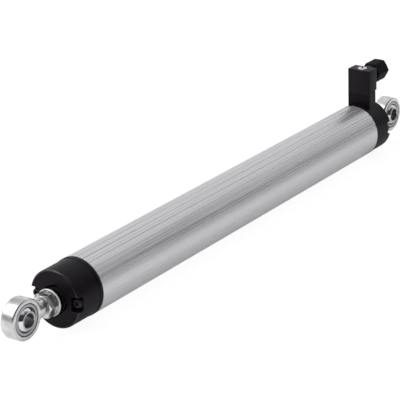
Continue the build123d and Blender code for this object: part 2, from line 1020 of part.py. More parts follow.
def write(name, shape):
    """One STEP file per piece."""
    export_step(shape, "parts/" + name + ".step")


os.makedirs("parts", exist_ok=True)

write("body_tube", make_body_tube())
write("front_head", make_front_head())
write("rear_head", make_rear_head())
write("front_gasket", front_place * make_gasket())
write("rear_gasket", rear_place * make_gasket())
write("front_head_screws", front_place * make_head_screws(front_head_length))
write("rear_head_screws", rear_place * make_head_screws(rear_head_length))
write("rod_guide_bush", make_guide_bush())
write("rod_wiper_seal", make_wiper_seal())
write("front_buffer", make_buffer(front_spigot_x - buffer_thickness, front_spigot_x))
write("rear_buffer", make_buffer(rear_spigot_x, rear_spigot_x + buffer_thickness))
write("rear_thread_insert", make_rear_insert())

write("rear_rod_end", make_rod_end())
write("rear_race", make_race())
write("rear_ball", make_ball())
write("rear_lock_nut", make_lock_nut(rear_face_x - lock_nut_thickness, rear_face_x))

write("control_rod", make_control_rod())
write(
    "rod_washer",
    ring_x(rod_front_x, washer_front_x, washer_diameter / 2, thread_hole_radius, 0.2),
)
write("rod_lock_nut", make_lock_nut(washer_front_x, front_nut_x))
write("front_rod_end", front_eye_place * make_rod_end())
write("front_race", front_eye_place * make_race())
write("front_ball", front_eye_place * make_ball())

write("track_board", make_board())
write("resistive_track", make_resistive_track())
write("collector_track", make_collector_track())
write("return_trace", make_return_trace())
write("wiper_carriage", make_carriage())
write("wiper_contacts", make_wiper_contacts())
write("wiper_screw", make_wiper_screw())

write("pin_carrier", make_pin_carrier())
write("contact_pins", make_contact_pins())
write("flat_gasket", make_flat_gasket())
write("plug_housing", make_plug_housing())
write("contact_insert", make_contact_insert())
write("contact_sleeves", make_contact_sleeves())
write("centre_screw", make_centre_screw())
write("gland_nut", make_gland_nut())
write("gland_washer", make_gland_washer())
write("gland_grommet", make_gland_grommet())

write("supply_wire", make_wire(-blade_spread_y, track_top_z, plug_centre_x))
write("wiper_wire", make_wire(blade_spread_y, track_top_z, plug_centre_x))
write("ground_wire", make_wire(0, track_top_z, plug_centre_x + blade_spread_x))
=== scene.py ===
"""Looks of a linear potentiometer: finishes, turned and moulded details, studio and camera."""

import json
import logging
import math
from dataclasses import dataclass, field, replace
from enum import Enum
from typing import Dict, List, Optional, Sequence, Tuple, Union

import bmesh
import bpy
from mathutils import Matrix, Vector


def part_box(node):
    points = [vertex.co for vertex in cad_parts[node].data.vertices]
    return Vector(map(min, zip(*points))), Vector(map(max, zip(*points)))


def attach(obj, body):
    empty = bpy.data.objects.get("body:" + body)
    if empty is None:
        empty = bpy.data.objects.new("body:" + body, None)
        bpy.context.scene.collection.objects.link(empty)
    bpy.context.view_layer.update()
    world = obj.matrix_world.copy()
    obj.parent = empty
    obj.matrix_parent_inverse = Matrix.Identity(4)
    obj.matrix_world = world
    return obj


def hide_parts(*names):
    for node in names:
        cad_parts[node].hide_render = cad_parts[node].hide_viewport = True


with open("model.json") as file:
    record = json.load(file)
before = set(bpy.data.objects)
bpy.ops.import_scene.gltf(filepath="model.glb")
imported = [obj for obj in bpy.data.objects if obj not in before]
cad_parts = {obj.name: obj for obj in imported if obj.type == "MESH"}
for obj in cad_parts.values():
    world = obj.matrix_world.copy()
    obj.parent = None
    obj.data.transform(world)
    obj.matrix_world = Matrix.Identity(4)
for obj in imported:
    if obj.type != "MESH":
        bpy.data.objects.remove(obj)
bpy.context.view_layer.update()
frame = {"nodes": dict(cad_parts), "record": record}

log = logging.getLogger("linear_potentiometer")

MM = 0.001
EDGE_COSINES = (0.995, 0.86)
EDGE_SAMPLES = 6
Triple = Tuple[float, float, float]
Colour = Triple
Point = Tuple[float, float]
Sockets = Dict[Union[str, int], object]


class Axis(Enum):
    """A main axis, with its unit vector."""

    X = (1.0, 0.0, 0.0)
    Y = (0.0, 1.0, 0.0)
    Z = (0.0, 0.0, 1.0)

    def seat(self, along: float, radius: float) -> Triple:
        """Gives the point at a height along this axis and a distance from it.

        Args:
            along: Distance along the axis.
            radius: Distance from the axis.

        Returns:
            The point, in the half plane that a turned outline is drawn in.
        """
        if self is Axis.X:
            return (along, 0.0, radius)
        if self is Axis.Y:
            return (radius, along, 0.0)
        return (radius, 0.0, along)


class Cut(Enum):
    """How a tool meets a piece."""

    AWAY = "DIFFERENCE"
    JOIN = "UNION"
    COMMON = "INTERSECT"


def reach(node: str) -> Tuple[Vector, Vector]:
    """Gives a CAD node's lowest and highest corner, in millimetres."""
    low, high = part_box(node)
    return low / MM, high / MM


# Shader graphs


@dataclass(frozen=True)
class Grain:
    """A noise: features per metre (all round or along x, y and z), octaves, their roughness.

    The span is the part of its range in which a mask made from it rises.
    """

    scale: Union[float, Triple]
    detail: float = 3.0
    rough: float = 0.5
    span: Point = (0.35, 0.65)


class Signal:
    """One output socket, on which Python's operators add Math nodes."""

    def __init__(self, graph: "Graph", socket: bpy.types.NodeSocket) -> None:
        """Keeps the graph and the socket."""
        self.graph = graph
        self.socket = socket

    def combine(self, operation: str, *values: "Value") -> "Signal":
        """Adds one Math node.

        Args:
            operation: The Math node's operation.
            values: Its inputs in order.

        Returns:
            The node's result.
        """
        inputs = dict(enumerate(values))
        return self.graph.node("ShaderNodeMath", {"operation": operation}, inputs)

    def __add__(self, other: "Value") -> "Signal":
        """Sum."""
        return self.combine("ADD", self, other)

    def __radd__(self, other: "Value") -> "Signal":
        """Sum with a number first."""
        return self.combine("ADD", other, self)

    def __sub__(self, other: "Value") -> "Signal":
        """Difference."""
        return self.combine("SUBTRACT", self, other)

    def __rsub__(self, other: "Value") -> "Signal":
        """Difference with a number first."""
        return self.combine("SUBTRACT", other, self)

    def __mul__(self, other: "Value") -> "Signal":
        """Product."""
        return self.combine("MULTIPLY", self, other)

    def __rmul__(self, other: "Value") -> "Signal":
        """Product with a number first."""
        return self.combine("MULTIPLY", other, self)

    def __pow__(self, other: "Value") -> "Signal":
        """Power."""
        return self.combine("POWER", self, other)

    def __rpow__(self, other: "Value") -> "Signal":
        """Power of a number."""
        return self.combine("POWER", other, self)

    def sine(self) -> "Signal":
        """Sine of an angle in radians."""
        return self.combine("SINE", self)

    def root(self) -> "Signal":
        """Square root."""
        return self.combine("SQRT", self)

    def angle_to(self, other: "Value") -> "Signal":
        """Angle whose tangent is this value over the other."""
        return self.combine("ARCTAN2", self, other)

    def larger(self, other: "Value") -> "Signal":
        """The larger of two values."""
        return self.combine("MAXIMUM", self, other)

    def step(self, low: float, high: float) -> "Signal":
        """Rises smoothly from 0 to 1.

        Args:
            low: Value at which the rise starts.
            high: Value at which it ends. Below low, the step falls instead.

        Returns:
            The mask.
        """
        settings = {"interpolation_type": "SMOOTHSTEP"}
        falling = high < low
        inputs = {
            "Value": self,
            "From Min": min(low, high),
            "From Max": max(low, high),
            "To Min": 1.0 if falling else 0.0,
            "To Max": 0.0 if falling else 1.0,
        }
        return self.graph.node("ShaderNodeMapRange", settings, inputs)

    def step_mm(self, low: float, high: float) -> "Signal":
        """The same step for a length, with its ends in millimetres."""
        return self.step(low * MM, high * MM)

    def within(self, outer: float, inner: float) -> "Signal":
        """1 where this length is under inner either way, 0 beyond outer, in millimetres."""
        return (self**2).step((outer * MM) ** 2, (inner * MM) ** 2)

    def at_least(self, least: float) -> "Signal":
        """This mask, raised to run from a least value to 1."""
        return self * (1 - least) + least


Value = Union[Signal, float, int]


class Graph:
    """Builds the nodes of one material or of the world."""

    def __init__(self, tree: bpy.types.NodeTree) -> None:
        """Empties the tree."""
        self.tree = tree
        self.tree.nodes.clear()

    def node(
        self,
        kind: str,
        settings: Optional[Dict[str, object]] = None,
        inputs: Optional[Sockets] = None,
        out: Union[str, int] = 0,
    ) -> Signal:
        """Adds a node.

        Args:
            kind: The node's type.
            settings: Its settings, set first.
            inputs: Values or links of its sockets, by name or number.
            out: The output that is wanted.

        Returns:
            That output.
        """
        made = self.tree.nodes.new(kind)
        for name, value in (settings or {}).items():
            setattr(made, name, value)
        for key, value in (inputs or {}).items():
            if isinstance(value, Signal):
                self.tree.links.new(value.socket, made.inputs[key])
            else:
                made.inputs[key].default_value = value
        return Signal(self, made.outputs[out] if made.outputs else None)

    def here(self) -> Signal:
        """The object coordinates, in metres."""
        return self.node("ShaderNodeTexCoord", out="Object")

    def split(self, where: Signal) -> Tuple[Signal, Signal, Signal]:
        """Takes a vector apart into x, y and z."""
        parts = self.node("ShaderNodeSeparateXYZ", inputs={0: where}).socket.node.outputs
        return tuple(Signal(self, parts[name]) for name in "XYZ")

    def vector(self, x: Value, y: Value, z: Value) -> Signal:
        """Joins three values to a vector."""
        return self.node("ShaderNodeCombineXYZ", inputs={0: x, 1: y, 2: z})

    def about_axis(self, first: Signal, second: Signal) -> Signal:
        """Gives the distance from an axis, from two offsets across it."""
        return (first * first + second * second).root()

    def noise(self, where: Signal, grain: Grain) -> Signal:
        """Adds noise.

        Args:
            where: The place it is read at.
            grain: Its size and character.

        Returns:
            A value about 0.5.
        """
        scale = grain.scale
        if isinstance(scale, tuple):
            factors = {0: where, 1: scale}
            where = self.node("ShaderNodeVectorMath", {"operation": "MULTIPLY"}, factors)
            scale = 1.0
        inputs = {"Vector": where, "Scale": scale, "Detail": grain.detail, "Roughness": grain.rough}
        return self.node("ShaderNodeTexNoise", inputs=inputs)

    def mix(self, factor: Value, first: object, second: object) -> Signal:
        """Blends two colours.

        Args:
            factor: Share of the second.
            first: Colour or link.
            second: Colour or link.

        Returns:
            The blended colour.
        """
        inputs = {0: factor, 6: self.paint(first), 7: self.paint(second)}
        return self.node("ShaderNodeMix", {"data_type": "RGBA"}, inputs, out=2)

    @staticmethod
    def paint(colour: object) -> object:
        """Gives a plain colour its fourth number."""
        return colour if isinstance(colour, Signal) else (*colour, 1.0)

    def soft_normal(self, radius: float) -> Signal:
        """Normal that is rounded within a radius of each edge, in millimetres."""
        return self.node("ShaderNodeBevel", {"samples": EDGE_SAMPLES}, {"Radius": radius * MM})

    def edge_mask(self, rounded: Signal) -> Signal:
        """Shows where a rounded normal leaves the true one.

        Args:
            rounded: The rounded normal.

        Returns:
            About 1 on edges and 0 on faces.
        """
        true = self.node("ShaderNodeNewGeometry", out="Normal")
        both = {0: rounded, 1: true}
        alike = self.node("ShaderNodeVectorMath", {"operation": "DOT_PRODUCT"}, both, "Value")
        return alike.step(*EDGE_COSINES)

    def bump(self, height: Signal, depth: float, under: Optional[Signal] = None) -> Signal:
        """Turns a height into a normal.

        Args:
            height: Height from 0 to 1.
            depth: What 1 stands for, in millimetres.
            under: The normal that it lies on.

        Returns:
            The bumped normal.
        """
        inputs: Sockets = {"Height": height, "Distance": depth * MM}
        if under is not None:
            inputs["Normal"] = under
        return self.node("ShaderNodeBump", inputs=inputs)

    def seen_rays(self) -> Tuple[Signal, Signal]:
        """Tells how the eye meets a surface.

        Returns:
            1 for what the camera sees directly, and 1 for what it sees directly, in a
            reflection or through glass.
        """
        direct = self.node("ShaderNodeLightPath", out="Is Camera Ray")
        paths = direct.socket.node.outputs
        mirrored = Signal(self, paths["Is Glossy Ray"])
        through = Signal(self, paths["Is Transmission Ray"])
        return direct, direct.larger(mirrored).larger(through)

    def surface(
        self,
        tone: Signal,
        dull: Signal,
        normal: Signal,
        metal: Value = 0.0,
        more: Optional[Sockets] = None,
    ) -> None:
        """Adds the main shader and the output.

        Args:
            tone: Its colour.
            dull: Its roughness.
            normal: Its normal.
            metal: How much of a metal it is.
            more: Its other sockets.
        """
        inputs: Sockets = {"Base Color": tone, "Metallic": metal, "Roughness": dull}
        inputs.update({"Normal": normal, **(more or {})})
        shader = self.node("ShaderNodeBsdfPrincipled", inputs=inputs)
        self.node("ShaderNodeOutputMaterial", inputs={"Surface": shader})


# Finishes


@dataclass(frozen=True)
class Finish:
    """A surface finish. Lengths are in millimetres.

    In the finishes below, shades are the factors of the colour between which a pattern runs,
    and a spread is what each pattern adds to the roughness at most. Another pair is where a
    mask starts to rise and where it is full.
    """

    name: str
    colour: Colour
    roughness: float

    def material(self) -> bpy.types.Material:
        """Gives the finish's material, made once.

        Returns:
            The material.
        """
        found = bpy.data.materials.get(self.name)
        if found is None:
            found = bpy.data.materials.new(self.name)
            found.use_nodes = True
            self.lay(Graph(found.node_tree))
        return found

    def cover(self, mesh: bpy.types.Mesh) -> None:
        """Makes this the mesh's only finish."""
        mesh.materials.clear()
        mesh.materials.append(self.material())

    def lay(self, graph: Graph) -> None:
        """Builds the shader graph."""
        raise NotImplementedError

    def shade(self, factor: float) -> Colour:
        """The colour made lighter or darker by a factor."""
        return tuple(min(1.0, channel * factor) for channel in self.colour)

    def tint(self, mask: Signal, first: float, second: float) -> Signal:
        """Blends two shades of the colour, given as factors."""
        return mask.graph.mix(mask, self.shade(first), self.shade(second))

    def uneven(self, patterns: Sequence[Signal], shares: Sequence[float]) -> Signal:
        """Varies the roughness about the finish's own.

        Args:
            patterns: Patterns about 0.5.
            shares: How much each of them adds at most.

        Returns:
            The roughness.
        """
        level = self.roughness - sum(shares) / 2
        return sum((share * pattern for share, pattern in zip(shares, patterns)), level)


@dataclass(frozen=True)
class DrawnAluminium(Finish):
    """Anodised extrusion with die lines along X. Angles are in degrees from the top.

    The groove's pair is of radii. Where lines or flutes are calm, that share of them is left.
    """

    metallic: float = 0.65
    die_lines: Grain = Grain((9.0, 2500.0, 2500.0), 3.0, 0.6)
    die_depth: float = 0.012
    oxide: Grain = Grain(60.0, 3.0, 0.55)
    calm: float = 0.25
    groove: Point = (17.72, 17.525)
    groove_painted_shade: float = 0.12
    flute_pitch: float = 6.75
    flute_depth: float = 0.08
    flute_power: int = 5
    flute_painted_shade: float = 0.85
    coarse: float = 0.7
    deep_from: Point = (48.0, 57.0)
    fluted_to: Point = (68.5, 66.5)
    land_from: Point = (63.0, 69.0)
    land_to: Point = (86.0, 72.0)
    land_painted_shade: float = 0.25
    shades: Point = (0.85, 1.1)
    painted_shade_tone: float = 0.55
    flute_shade: float = 0.4
    spread: Point = (0.28, 0.08)

    def lay(self, graph: Graph) -> None:
        """Lays die lines, grooves, upper flutes, painted shade in them and on a land, and oxide
        cloud.

        Args:
            graph: The material's graph.
        """
        here = graph.here()
        _, y, z = graph.split(here)
        lines = graph.noise(here, self.die_lines)
        angle = y.angle_to(z) * (180 / math.pi)
        turned = (angle * angle).root()
        upper = turned.step(*self.fluted_to)
        groove = graph.about_axis(y, z).step_mm(*self.groove)
        deep = turned.step(*self.deep_from).at_least(self.calm)
        wide, narrow = (self.flute(angle, self.flute_pitch / part) for part in (1, 2))
        marks = wide * deep * self.coarse + narrow * (1 - self.coarse)
        flutes = marks * upper * (1 - groove)
        streak = (lines.step(*self.die_lines.span) - 0.5) * upper.at_least(self.calm) + 0.5
        # Painted shade: the grooves and a land between 63 and 86 degrees from the top are darkened.
        land = turned.step(*self.land_from) * turned.step(*self.land_to)
        darkening = groove * self.groove_painted_shade + land * self.land_painted_shade
        tone = graph.mix(darkening, self.tint(streak, *self.shades), self.shade(self.painted_shade_tone))
        # Painted shade in the flutes, which lie on the upper side only.
        tone = graph.mix(flutes * self.flute_painted_shade, tone, self.shade(self.flute_shade))
        dull = self.uneven([streak, graph.noise(here, self.oxide)], self.spread)
        worn = graph.bump(lines, self.die_depth)
        normal = graph.bump(1 - flutes, self.flute_depth, worn)
        graph.surface(tone, dull, normal, self.metallic)

    def flute(self, angle: Signal, pitch: float) -> Signal:
        """Gives narrow marks round the tube.

        Args:
            angle: Angle about the axis, in degrees.
            pitch: Their pitch, in degrees.

        Returns:
            1 in the middle of a mark and 0 between two.
        """
        wave = (angle * (math.tau / pitch) + math.pi / 2).sine() * 0.5 + 0.5
        return wave**self.flute_power


@dataclass(frozen=True)
class MouldedPolymer(Finish):
    """Moulded plastic with a fine spark-eroded grain and edges that catch the light.

    With a rim_x, the round rim at that place along the tube is polished as well.
    """

    grain: float = 0.35
    grain_depth: float = 0.012
    edge: float = 0.3
    edge_gain: float = 1.9
    gloss: float = 0.5
    polish: float = 0.6
    polish_roughness: float = 0.16
    rim_x: Optional[float] = None
    rim_radius: Point = (16.3, 16.65)
    rim_width: Point = (1.05, 0.7)
    flow: Grain = Grain(70.0, 3.0, 0.5)
    wear_and_highlight_grain: Grain = Grain(240.0, 4.0, 0.65, (0.3, 0.6))
    shades: Point = (0.88, 1.14)
    edge_share: float = 0.7
    edge_gloss: float = 0.08
    spread: Point = (0.12, 0.14)
    grain_detail: float = 4.0
    grain_rough: float = 0.6

    def lay(self, graph: Graph) -> None:
        """Lays grain, slow flow marks, edges lighter by wear and painted highlight, handling sheen
        and the polished rim.

        Args:
            graph: The material's graph.
        """
        here = graph.here()
        x, y, z = graph.split(here)
        fine = Grain(1 / (self.grain * MM), self.grain_detail, self.grain_rough)
        grain = graph.noise(here, fine)
        flow = graph.noise(here, self.flow)
        wear_and_highlight = graph.noise(here, self.wear_and_highlight_grain).step(*self.wear_and_highlight_grain.span)
        rounded = graph.soft_normal(self.edge)
        edge = graph.edge_mask(rounded)
        tone = self.tint(flow.step(*self.flow.span), *self.shades)
        # Edges lightened in patches: partly rubbed wear, partly a painted highlight.
        tone = graph.mix(edge * self.edge_share * wear_and_highlight, tone, self.shade(self.edge_gain))
        dull = self.uneven([grain, flow], self.spread) - edge * self.edge_gloss
        normal = graph.bump(grain, self.grain_depth, rounded)
        polished = edge * self.polish
        if self.rim_x is not None:
            outer = graph.about_axis(y, z).step_mm(*self.rim_radius)
            near = (x - self.rim_x * MM).within(*self.rim_width)
            polished = polished.larger(outer * near)
        coat = {"Coat Weight": polished, "Coat Roughness": self.polish_roughness}
        graph.surface(tone, dull, normal, more={**coat, "Specular IOR Level": self.gloss})


@dataclass(frozen=True)
class MouldedRubber(Finish):
    """Dull rubber with a faint bloom."""

    gloss: float = 0.2
    edge: float = 0.15
    skin_depth: float = 0.01
    bloom: Grain = Grain(300.0, 5.0, 0.6, (0.42, 0.72))
    skin: Grain = Grain(3500.0, 2.0, 0.5)
    shades: Point = (1.0, 1.6)
    spread: float = 0.16

    def lay(self, graph: Graph) -> None:
        """Lays bloom and a soft skin.

        Args:
            graph: The material's graph.
        """
        here = graph.here()
        bloom = graph.noise(here, self.bloom)
        rounded = graph.soft_normal(self.edge)
        normal = graph.bump(graph.noise(here, self.skin), self.skin_depth, rounded)
        tone = self.tint(bloom.step(*self.bloom.span), *self.shades)
        dull = self.uneven([bloom], [self.spread])
        graph.surface(tone, dull, normal, more={"Specular IOR Level": self.gloss})


@dataclass(frozen=True)
class PlatedSteel(Finish):
    """Bright plated metal with a slight orange peel and edges lightened as a painted highlight.

    With a seam, oil and painted shade darken the metal within that radius about Y through
    centre_x. With a rim, the metal beyond about that radius from the tube's axis is lightened as
    a painted highlight.
    """

    peel: float = 1.6
    peel_depth: float = 0.012
    edge: float = 0.18
    metallic: float = 1.0
    centre_x: float = 0.0
    seam: float = 0.0
    seam_fade: float = 0.25
    stain: float = 0.84
    rim: float = 0.0
    rim_fade: Point = (0.35, 0.1)
    rim_highlight_colour: Colour = (0.96, 0.96, 0.96)
    haze: Grain = Grain(220.0, 5.0, 0.62, (0.38, 0.66))
    marks: Grain = Grain((900.0, 5200.0, 900.0), 3.0, 0.6)
    marks_share: float = 0.25
    bright: float = 1.06
    spread: Point = (0.16, 0.08)
    edge_share: float = 0.6
    edge_gain: float = 1.2
    edge_highlight_matt: float = 0.5
    oil_and_shade_share: float = 0.85
    oil_and_shade_tone: float = 0.1
    oil_dull: float = 0.2
    rim_highlight_matt: float = 0.6
    peel_detail: float = 2.0
    peel_rough: float = 0.45

    def lay(self, graph: Graph) -> None:
        """Lays the peel, cloudy plating, small tool marks, seam oil with painted shade, a painted
        rim highlight.

        Args:
            graph: The material's graph.
        """
        here = graph.here()
        x, y, z = graph.split(here)
        coarse = Grain(1 / (self.peel * MM), self.peel_detail, self.peel_rough)
        peel = graph.noise(here, coarse)
        haze = graph.noise(here, self.haze)
        marks = graph.noise(here, self.marks)
        rounded = graph.soft_normal(self.edge)
        edge = graph.edge_mask(rounded)
        tone = self.tint(haze.step(*self.haze.span), self.stain, self.bright)
        # Painted highlight: edges are lightened and made less metallic, so they read bright under
        # any light.
        tone = graph.mix(edge * self.edge_share, tone, self.shade(self.edge_gain))
        dull = self.uneven([haze, marks], self.spread)
        # The seam is darkened partly by oil and partly as painted shade.
        if self.seam:
            off = graph.about_axis(x - self.centre_x * MM, z)
            oil_and_shade_mask = off.step_mm(self.seam + self.seam_fade, self.seam)
            tone = graph.mix(oil_and_shade_mask * self.oil_and_shade_share, tone, self.shade(self.oil_and_shade_tone))
            dull = dull + oil_and_shade_mask * self.oil_dull
        height = peel * (1 - self.marks_share) + marks * self.marks_share
        normal = graph.bump(height, self.peel_depth, rounded)
        metal = self.metallic * (1 - edge * self.edge_highlight_matt)
        # Painted highlight: the rim is lightened to near white and made less metallic.
        if self.rim:
            start, full = (self.rim - fade for fade in self.rim_fade)
            outer = graph.about_axis(y, z).step_mm(start, full)
            tone = graph.mix(outer, tone, self.rim_highlight_colour)
            metal = metal * (1 - outer * self.rim_highlight_matt)
        graph.surface(tone, dull, normal, metal)


@dataclass(frozen=True)
class TurnedMetal(Finish):
    """Metal with fine rings about an axis parallel to X, or to Y through a point on X.

    With a bore, that radius has dull walls darkened partly by oil and partly as painted shade,
    broken by lighter streaks that stand for reflections. The seams, each given by its radius and
    half width, are darkened the same way, and a flat face is darker out to the radius flat_to.
    """

    axis: Axis = Axis.X
    centre_x: float = 0.0
    pitch: float = 0.12
    round_scale: float = 40.0
    bore_scale: float = 900.0
    line_depth: float = 0.003
    edge: float = 0.12
    bore: float = 0.0
    bore_fade: Point = (0.3, 0.05)
    seams: Tuple[Point, ...] = ()
    seam_core: float = 0.4
    darkening: float = 0.88
    flat_to: float = 0.0
    flat_fade: Point = (0.25, -0.1)
    rings: Grain = Grain(1.0, 3.0, 0.6, (0.32, 0.68))
    haze: Grain = Grain(260.0, 4.0, 0.6)
    streaks: Grain = Grain((550.0, 60.0, 550.0), 2.0, 0.5, (0.5, 0.6))
    streak_share: float = 0.8
    shades: Point = (0.9, 1.06)
    spread: Point = (0.1, 0.08)
    oil_and_shade_tone: float = 0.06
    oil_dull: float = 0.3
    flat_share: float = 0.55
    flat_shade: float = 0.3
    flat_dull: float = 0.15

    def lay(self, graph: Graph) -> None:
        """Lays tool or wheel rings, haze, a dull bore, and oil with painted shade in bore and
        seams.

        Args:
            graph: The material's graph.
        """
        here = graph.here()
        x, y, z = graph.split(here)
        fine = 1 / (self.pitch * MM)
        if self.axis is Axis.X:
            slow = self.round_scale
            across, round_it = x, graph.vector(x * fine, y * slow, z * slow)
        else:
            across = graph.about_axis(x - self.centre_x * MM, z)
            round_it = graph.vector(across * fine, y * self.bore_scale, 0.0)
        rings = graph.noise(round_it, self.rings)
        tone = self.tint(rings.step(*self.rings.span), *self.shades)
        dull = self.uneven([rings, graph.noise(here, self.haze)], self.spread)
        oil_and_shade: Value = 0.0
        # The bore is darkened partly by oil and partly as painted shade; its lighter streaks are
        # painted reflections.
        if self.bore:
            bore_glint_streaks = graph.noise(here, self.streaks).step(*self.streaks.span)
            start, full = (self.bore + fade for fade in self.bore_fade)
            oil_and_shade = across.step_mm(start, full) * (1 - bore_glint_streaks * self.streak_share)
        # The seams are darkened partly by oil and partly as painted shade.
        for radius, width in self.seams:
            seam = (across - radius * MM).within(width, width * self.seam_core)
            oil_and_shade = seam.larger(oil_and_shade)
        if isinstance(oil_and_shade, Signal):
            tone = graph.mix(oil_and_shade * self.darkening, tone, self.shade(self.oil_and_shade_tone))
            dull = dull + oil_and_shade * self.oil_dull
        if self.flat_to:
            start, full = (self.flat_to + fade for fade in self.flat_fade)
            flat = across.step_mm(start, full)
            tone = graph.mix(flat * self.flat_share, tone, self.shade(self.flat_shade))
            dull = dull + flat * self.flat_dull
        normal = graph.bump(rings, self.line_depth, graph.soft_normal(self.edge))
        graph.surface(tone, dull, normal, 1.0)


@dataclass(frozen=True)
class SinteredBronze(Finish):
    """Oil-filled bearing bronze with open pores."""

    metallic: float = 0.9
    pore_scale: float = 3200.0
    pore_depth: float = 0.02
    pore_edge: Point = (0.32, 0.12)
    pore_shade: float = 0.3
    stain: Grain = Grain(180.0, 4.0, 0.6, (0.4, 0.65))
    shades: Point = (1.0, 0.62)
    spread: float = 0.2

    def lay(self, graph: Graph) -> None:
        """Lays pores and an oily stain.

        Args:
            graph: The material's graph.
        """
        here = graph.here()
        where = {"Vector": here, "Scale": self.pore_scale}
        pores = graph.node("ShaderNodeTexVoronoi", inputs=where).step(*self.pore_edge)
        stain = graph.noise(here, self.stain)
        tone = self.tint(stain.step(*self.stain.span), *self.shades)
        tone = graph.mix(pores, tone, self.shade(self.pore_shade))
        dull = self.uneven([stain], [self.spread])
        graph.surface(tone, dull, graph.bump(1 - pores, self.pore_depth), self.metallic)


@dataclass(frozen=True)
class WovenLaminate(Finish):
    """Glass epoxy board in which the weave shows."""

    thread: float = 0.55
    weave_depth: float = 0.006
    weave_share: float = 0.5
    stain: Grain = Grain(90.0, 3.0, 0.5)
    shades: Point = (0.8, 1.35)
    spread: float = 0.15

    def lay(self, graph: Graph) -> None:
        """Lays warp and weft under a clear resin.

        Args:
            graph: The material's graph.
        """
        here = graph.here()
        x, y, _ = graph.split(here)
        turn = math.tau / (2 * self.thread * MM)
        weave = (x * turn).sine() * (y * turn).sine() * 0.5 + 0.5
        stain = graph.noise(here, self.stain)
        mask = weave * self.weave_share + stain * (1 - self.weave_share)
        dull = stain * self.spread + self.roughness
        graph.surface(self.tint(mask, *self.shades), dull, graph.bump(weave, self.weave_depth))


@dataclass(frozen=True)
class PrintedTrack(Finish):
    """Screen-printed strip with the mesh's marks and a polished path under the wiper."""

    metallic: float = 0.0
    path_y: float = 4.0
    path_width: Point = (1.5492, 0.7746)
    print_depth: float = 0.004
    path_gloss: float = 0.12
    speckle: Grain = Grain(6000.0, 2.0, 0.5, (0.35, 0.7))
    waves: Grain = Grain((900.0, 300.0, 300.0), 2.0, 0.5)
    shades: Point = (0.8, 1.3)
    spread: float = 0.16

    def lay(self, graph: Graph) -> None:
        """Lays speckle, print waves along the strip and the wiped paths.

        Args:
            graph: The material's graph.
        """
        here = graph.here()
        _, y, _ = graph.split(here)
        speckle = graph.noise(here, self.speckle)
        path = ((y * y).root() - self.path_y * MM).within(*self.path_width)
        tone = self.tint(speckle.step(*self.speckle.span), *self.shades)
        dull = graph.noise(here, self.waves) * self.spread + self.roughness
        dull = dull - path * self.path_gloss
        graph.surface(tone, dull, graph.bump(speckle, self.print_depth), self.metallic)


@dataclass(frozen=True)
class WireSkin(Finish):
    """Extruded insulation, slightly waxy."""

    wax_depth: float = 0.02
    wax: Grain = Grain(700.0, 3.0, 0.55)
    shades: Point = (0.86, 1.14)
    spread: float = 0.16

    def lay(self, graph: Graph) -> None:
        """Lays a waxy mottle.

        Args:
            graph: The material's graph.
        """
        wax = graph.noise(graph.here(), self.wax)
        tone = self.tint(wax.step(*self.wax.span), *self.shades)
        dull = wax * self.spread + self.roughness
        graph.surface(tone, dull, graph.bump(wax, self.wax_depth))


BLACK_NYLON = MouldedPolymer("glass_filled_nylon", (0.0086, 0.0066, 0.0091), 0.4, gloss=0.14)
HEAD_NYLON = replace(
    BLACK_NYLON, name="head_nylon", colour=(0.0058, 0.0034, 0.0068), gloss=0.12, polish=1.0
)
GLAND_NYLON = replace(BLACK_NYLON, name="gland_nylon", roughness=0.62, gloss=0.06)
ZINC = PlatedSteel("bright_zinc", (0.78, 0.78, 0.785), 0.3, 1.2, 0.016)
NUT_ZINC = PlatedSteel("nut_zinc", (0.92, 0.92, 0.93), 0.17, 1.6, 0.03, 0.3, 0.92, stain=0.75)
WASHER_ZINC = replace(NUT_ZINC, name="washer_zinc", stain=0.42, rim=8.0)
THREAD_ZINC = PlatedSteel("thread_zinc", (0.35, 0.355, 0.36), 0.32)
BLACK_OXIDE = PlatedSteel("black_oxide_steel", (0.012, 0.012, 0.014), 0.5, metallic=0.2)
RACE = TurnedMetal("turned_race", (0.44, 0.43, 0.45), 0.28, Axis.Y, 0.0, 0.2, darkening=0.95)
BALL = TurnedMetal("lapped_ball", (0.84, 0.85, 0.87), 0.08, Axis.Y, 0.0, 0.3, darkening=0.95)

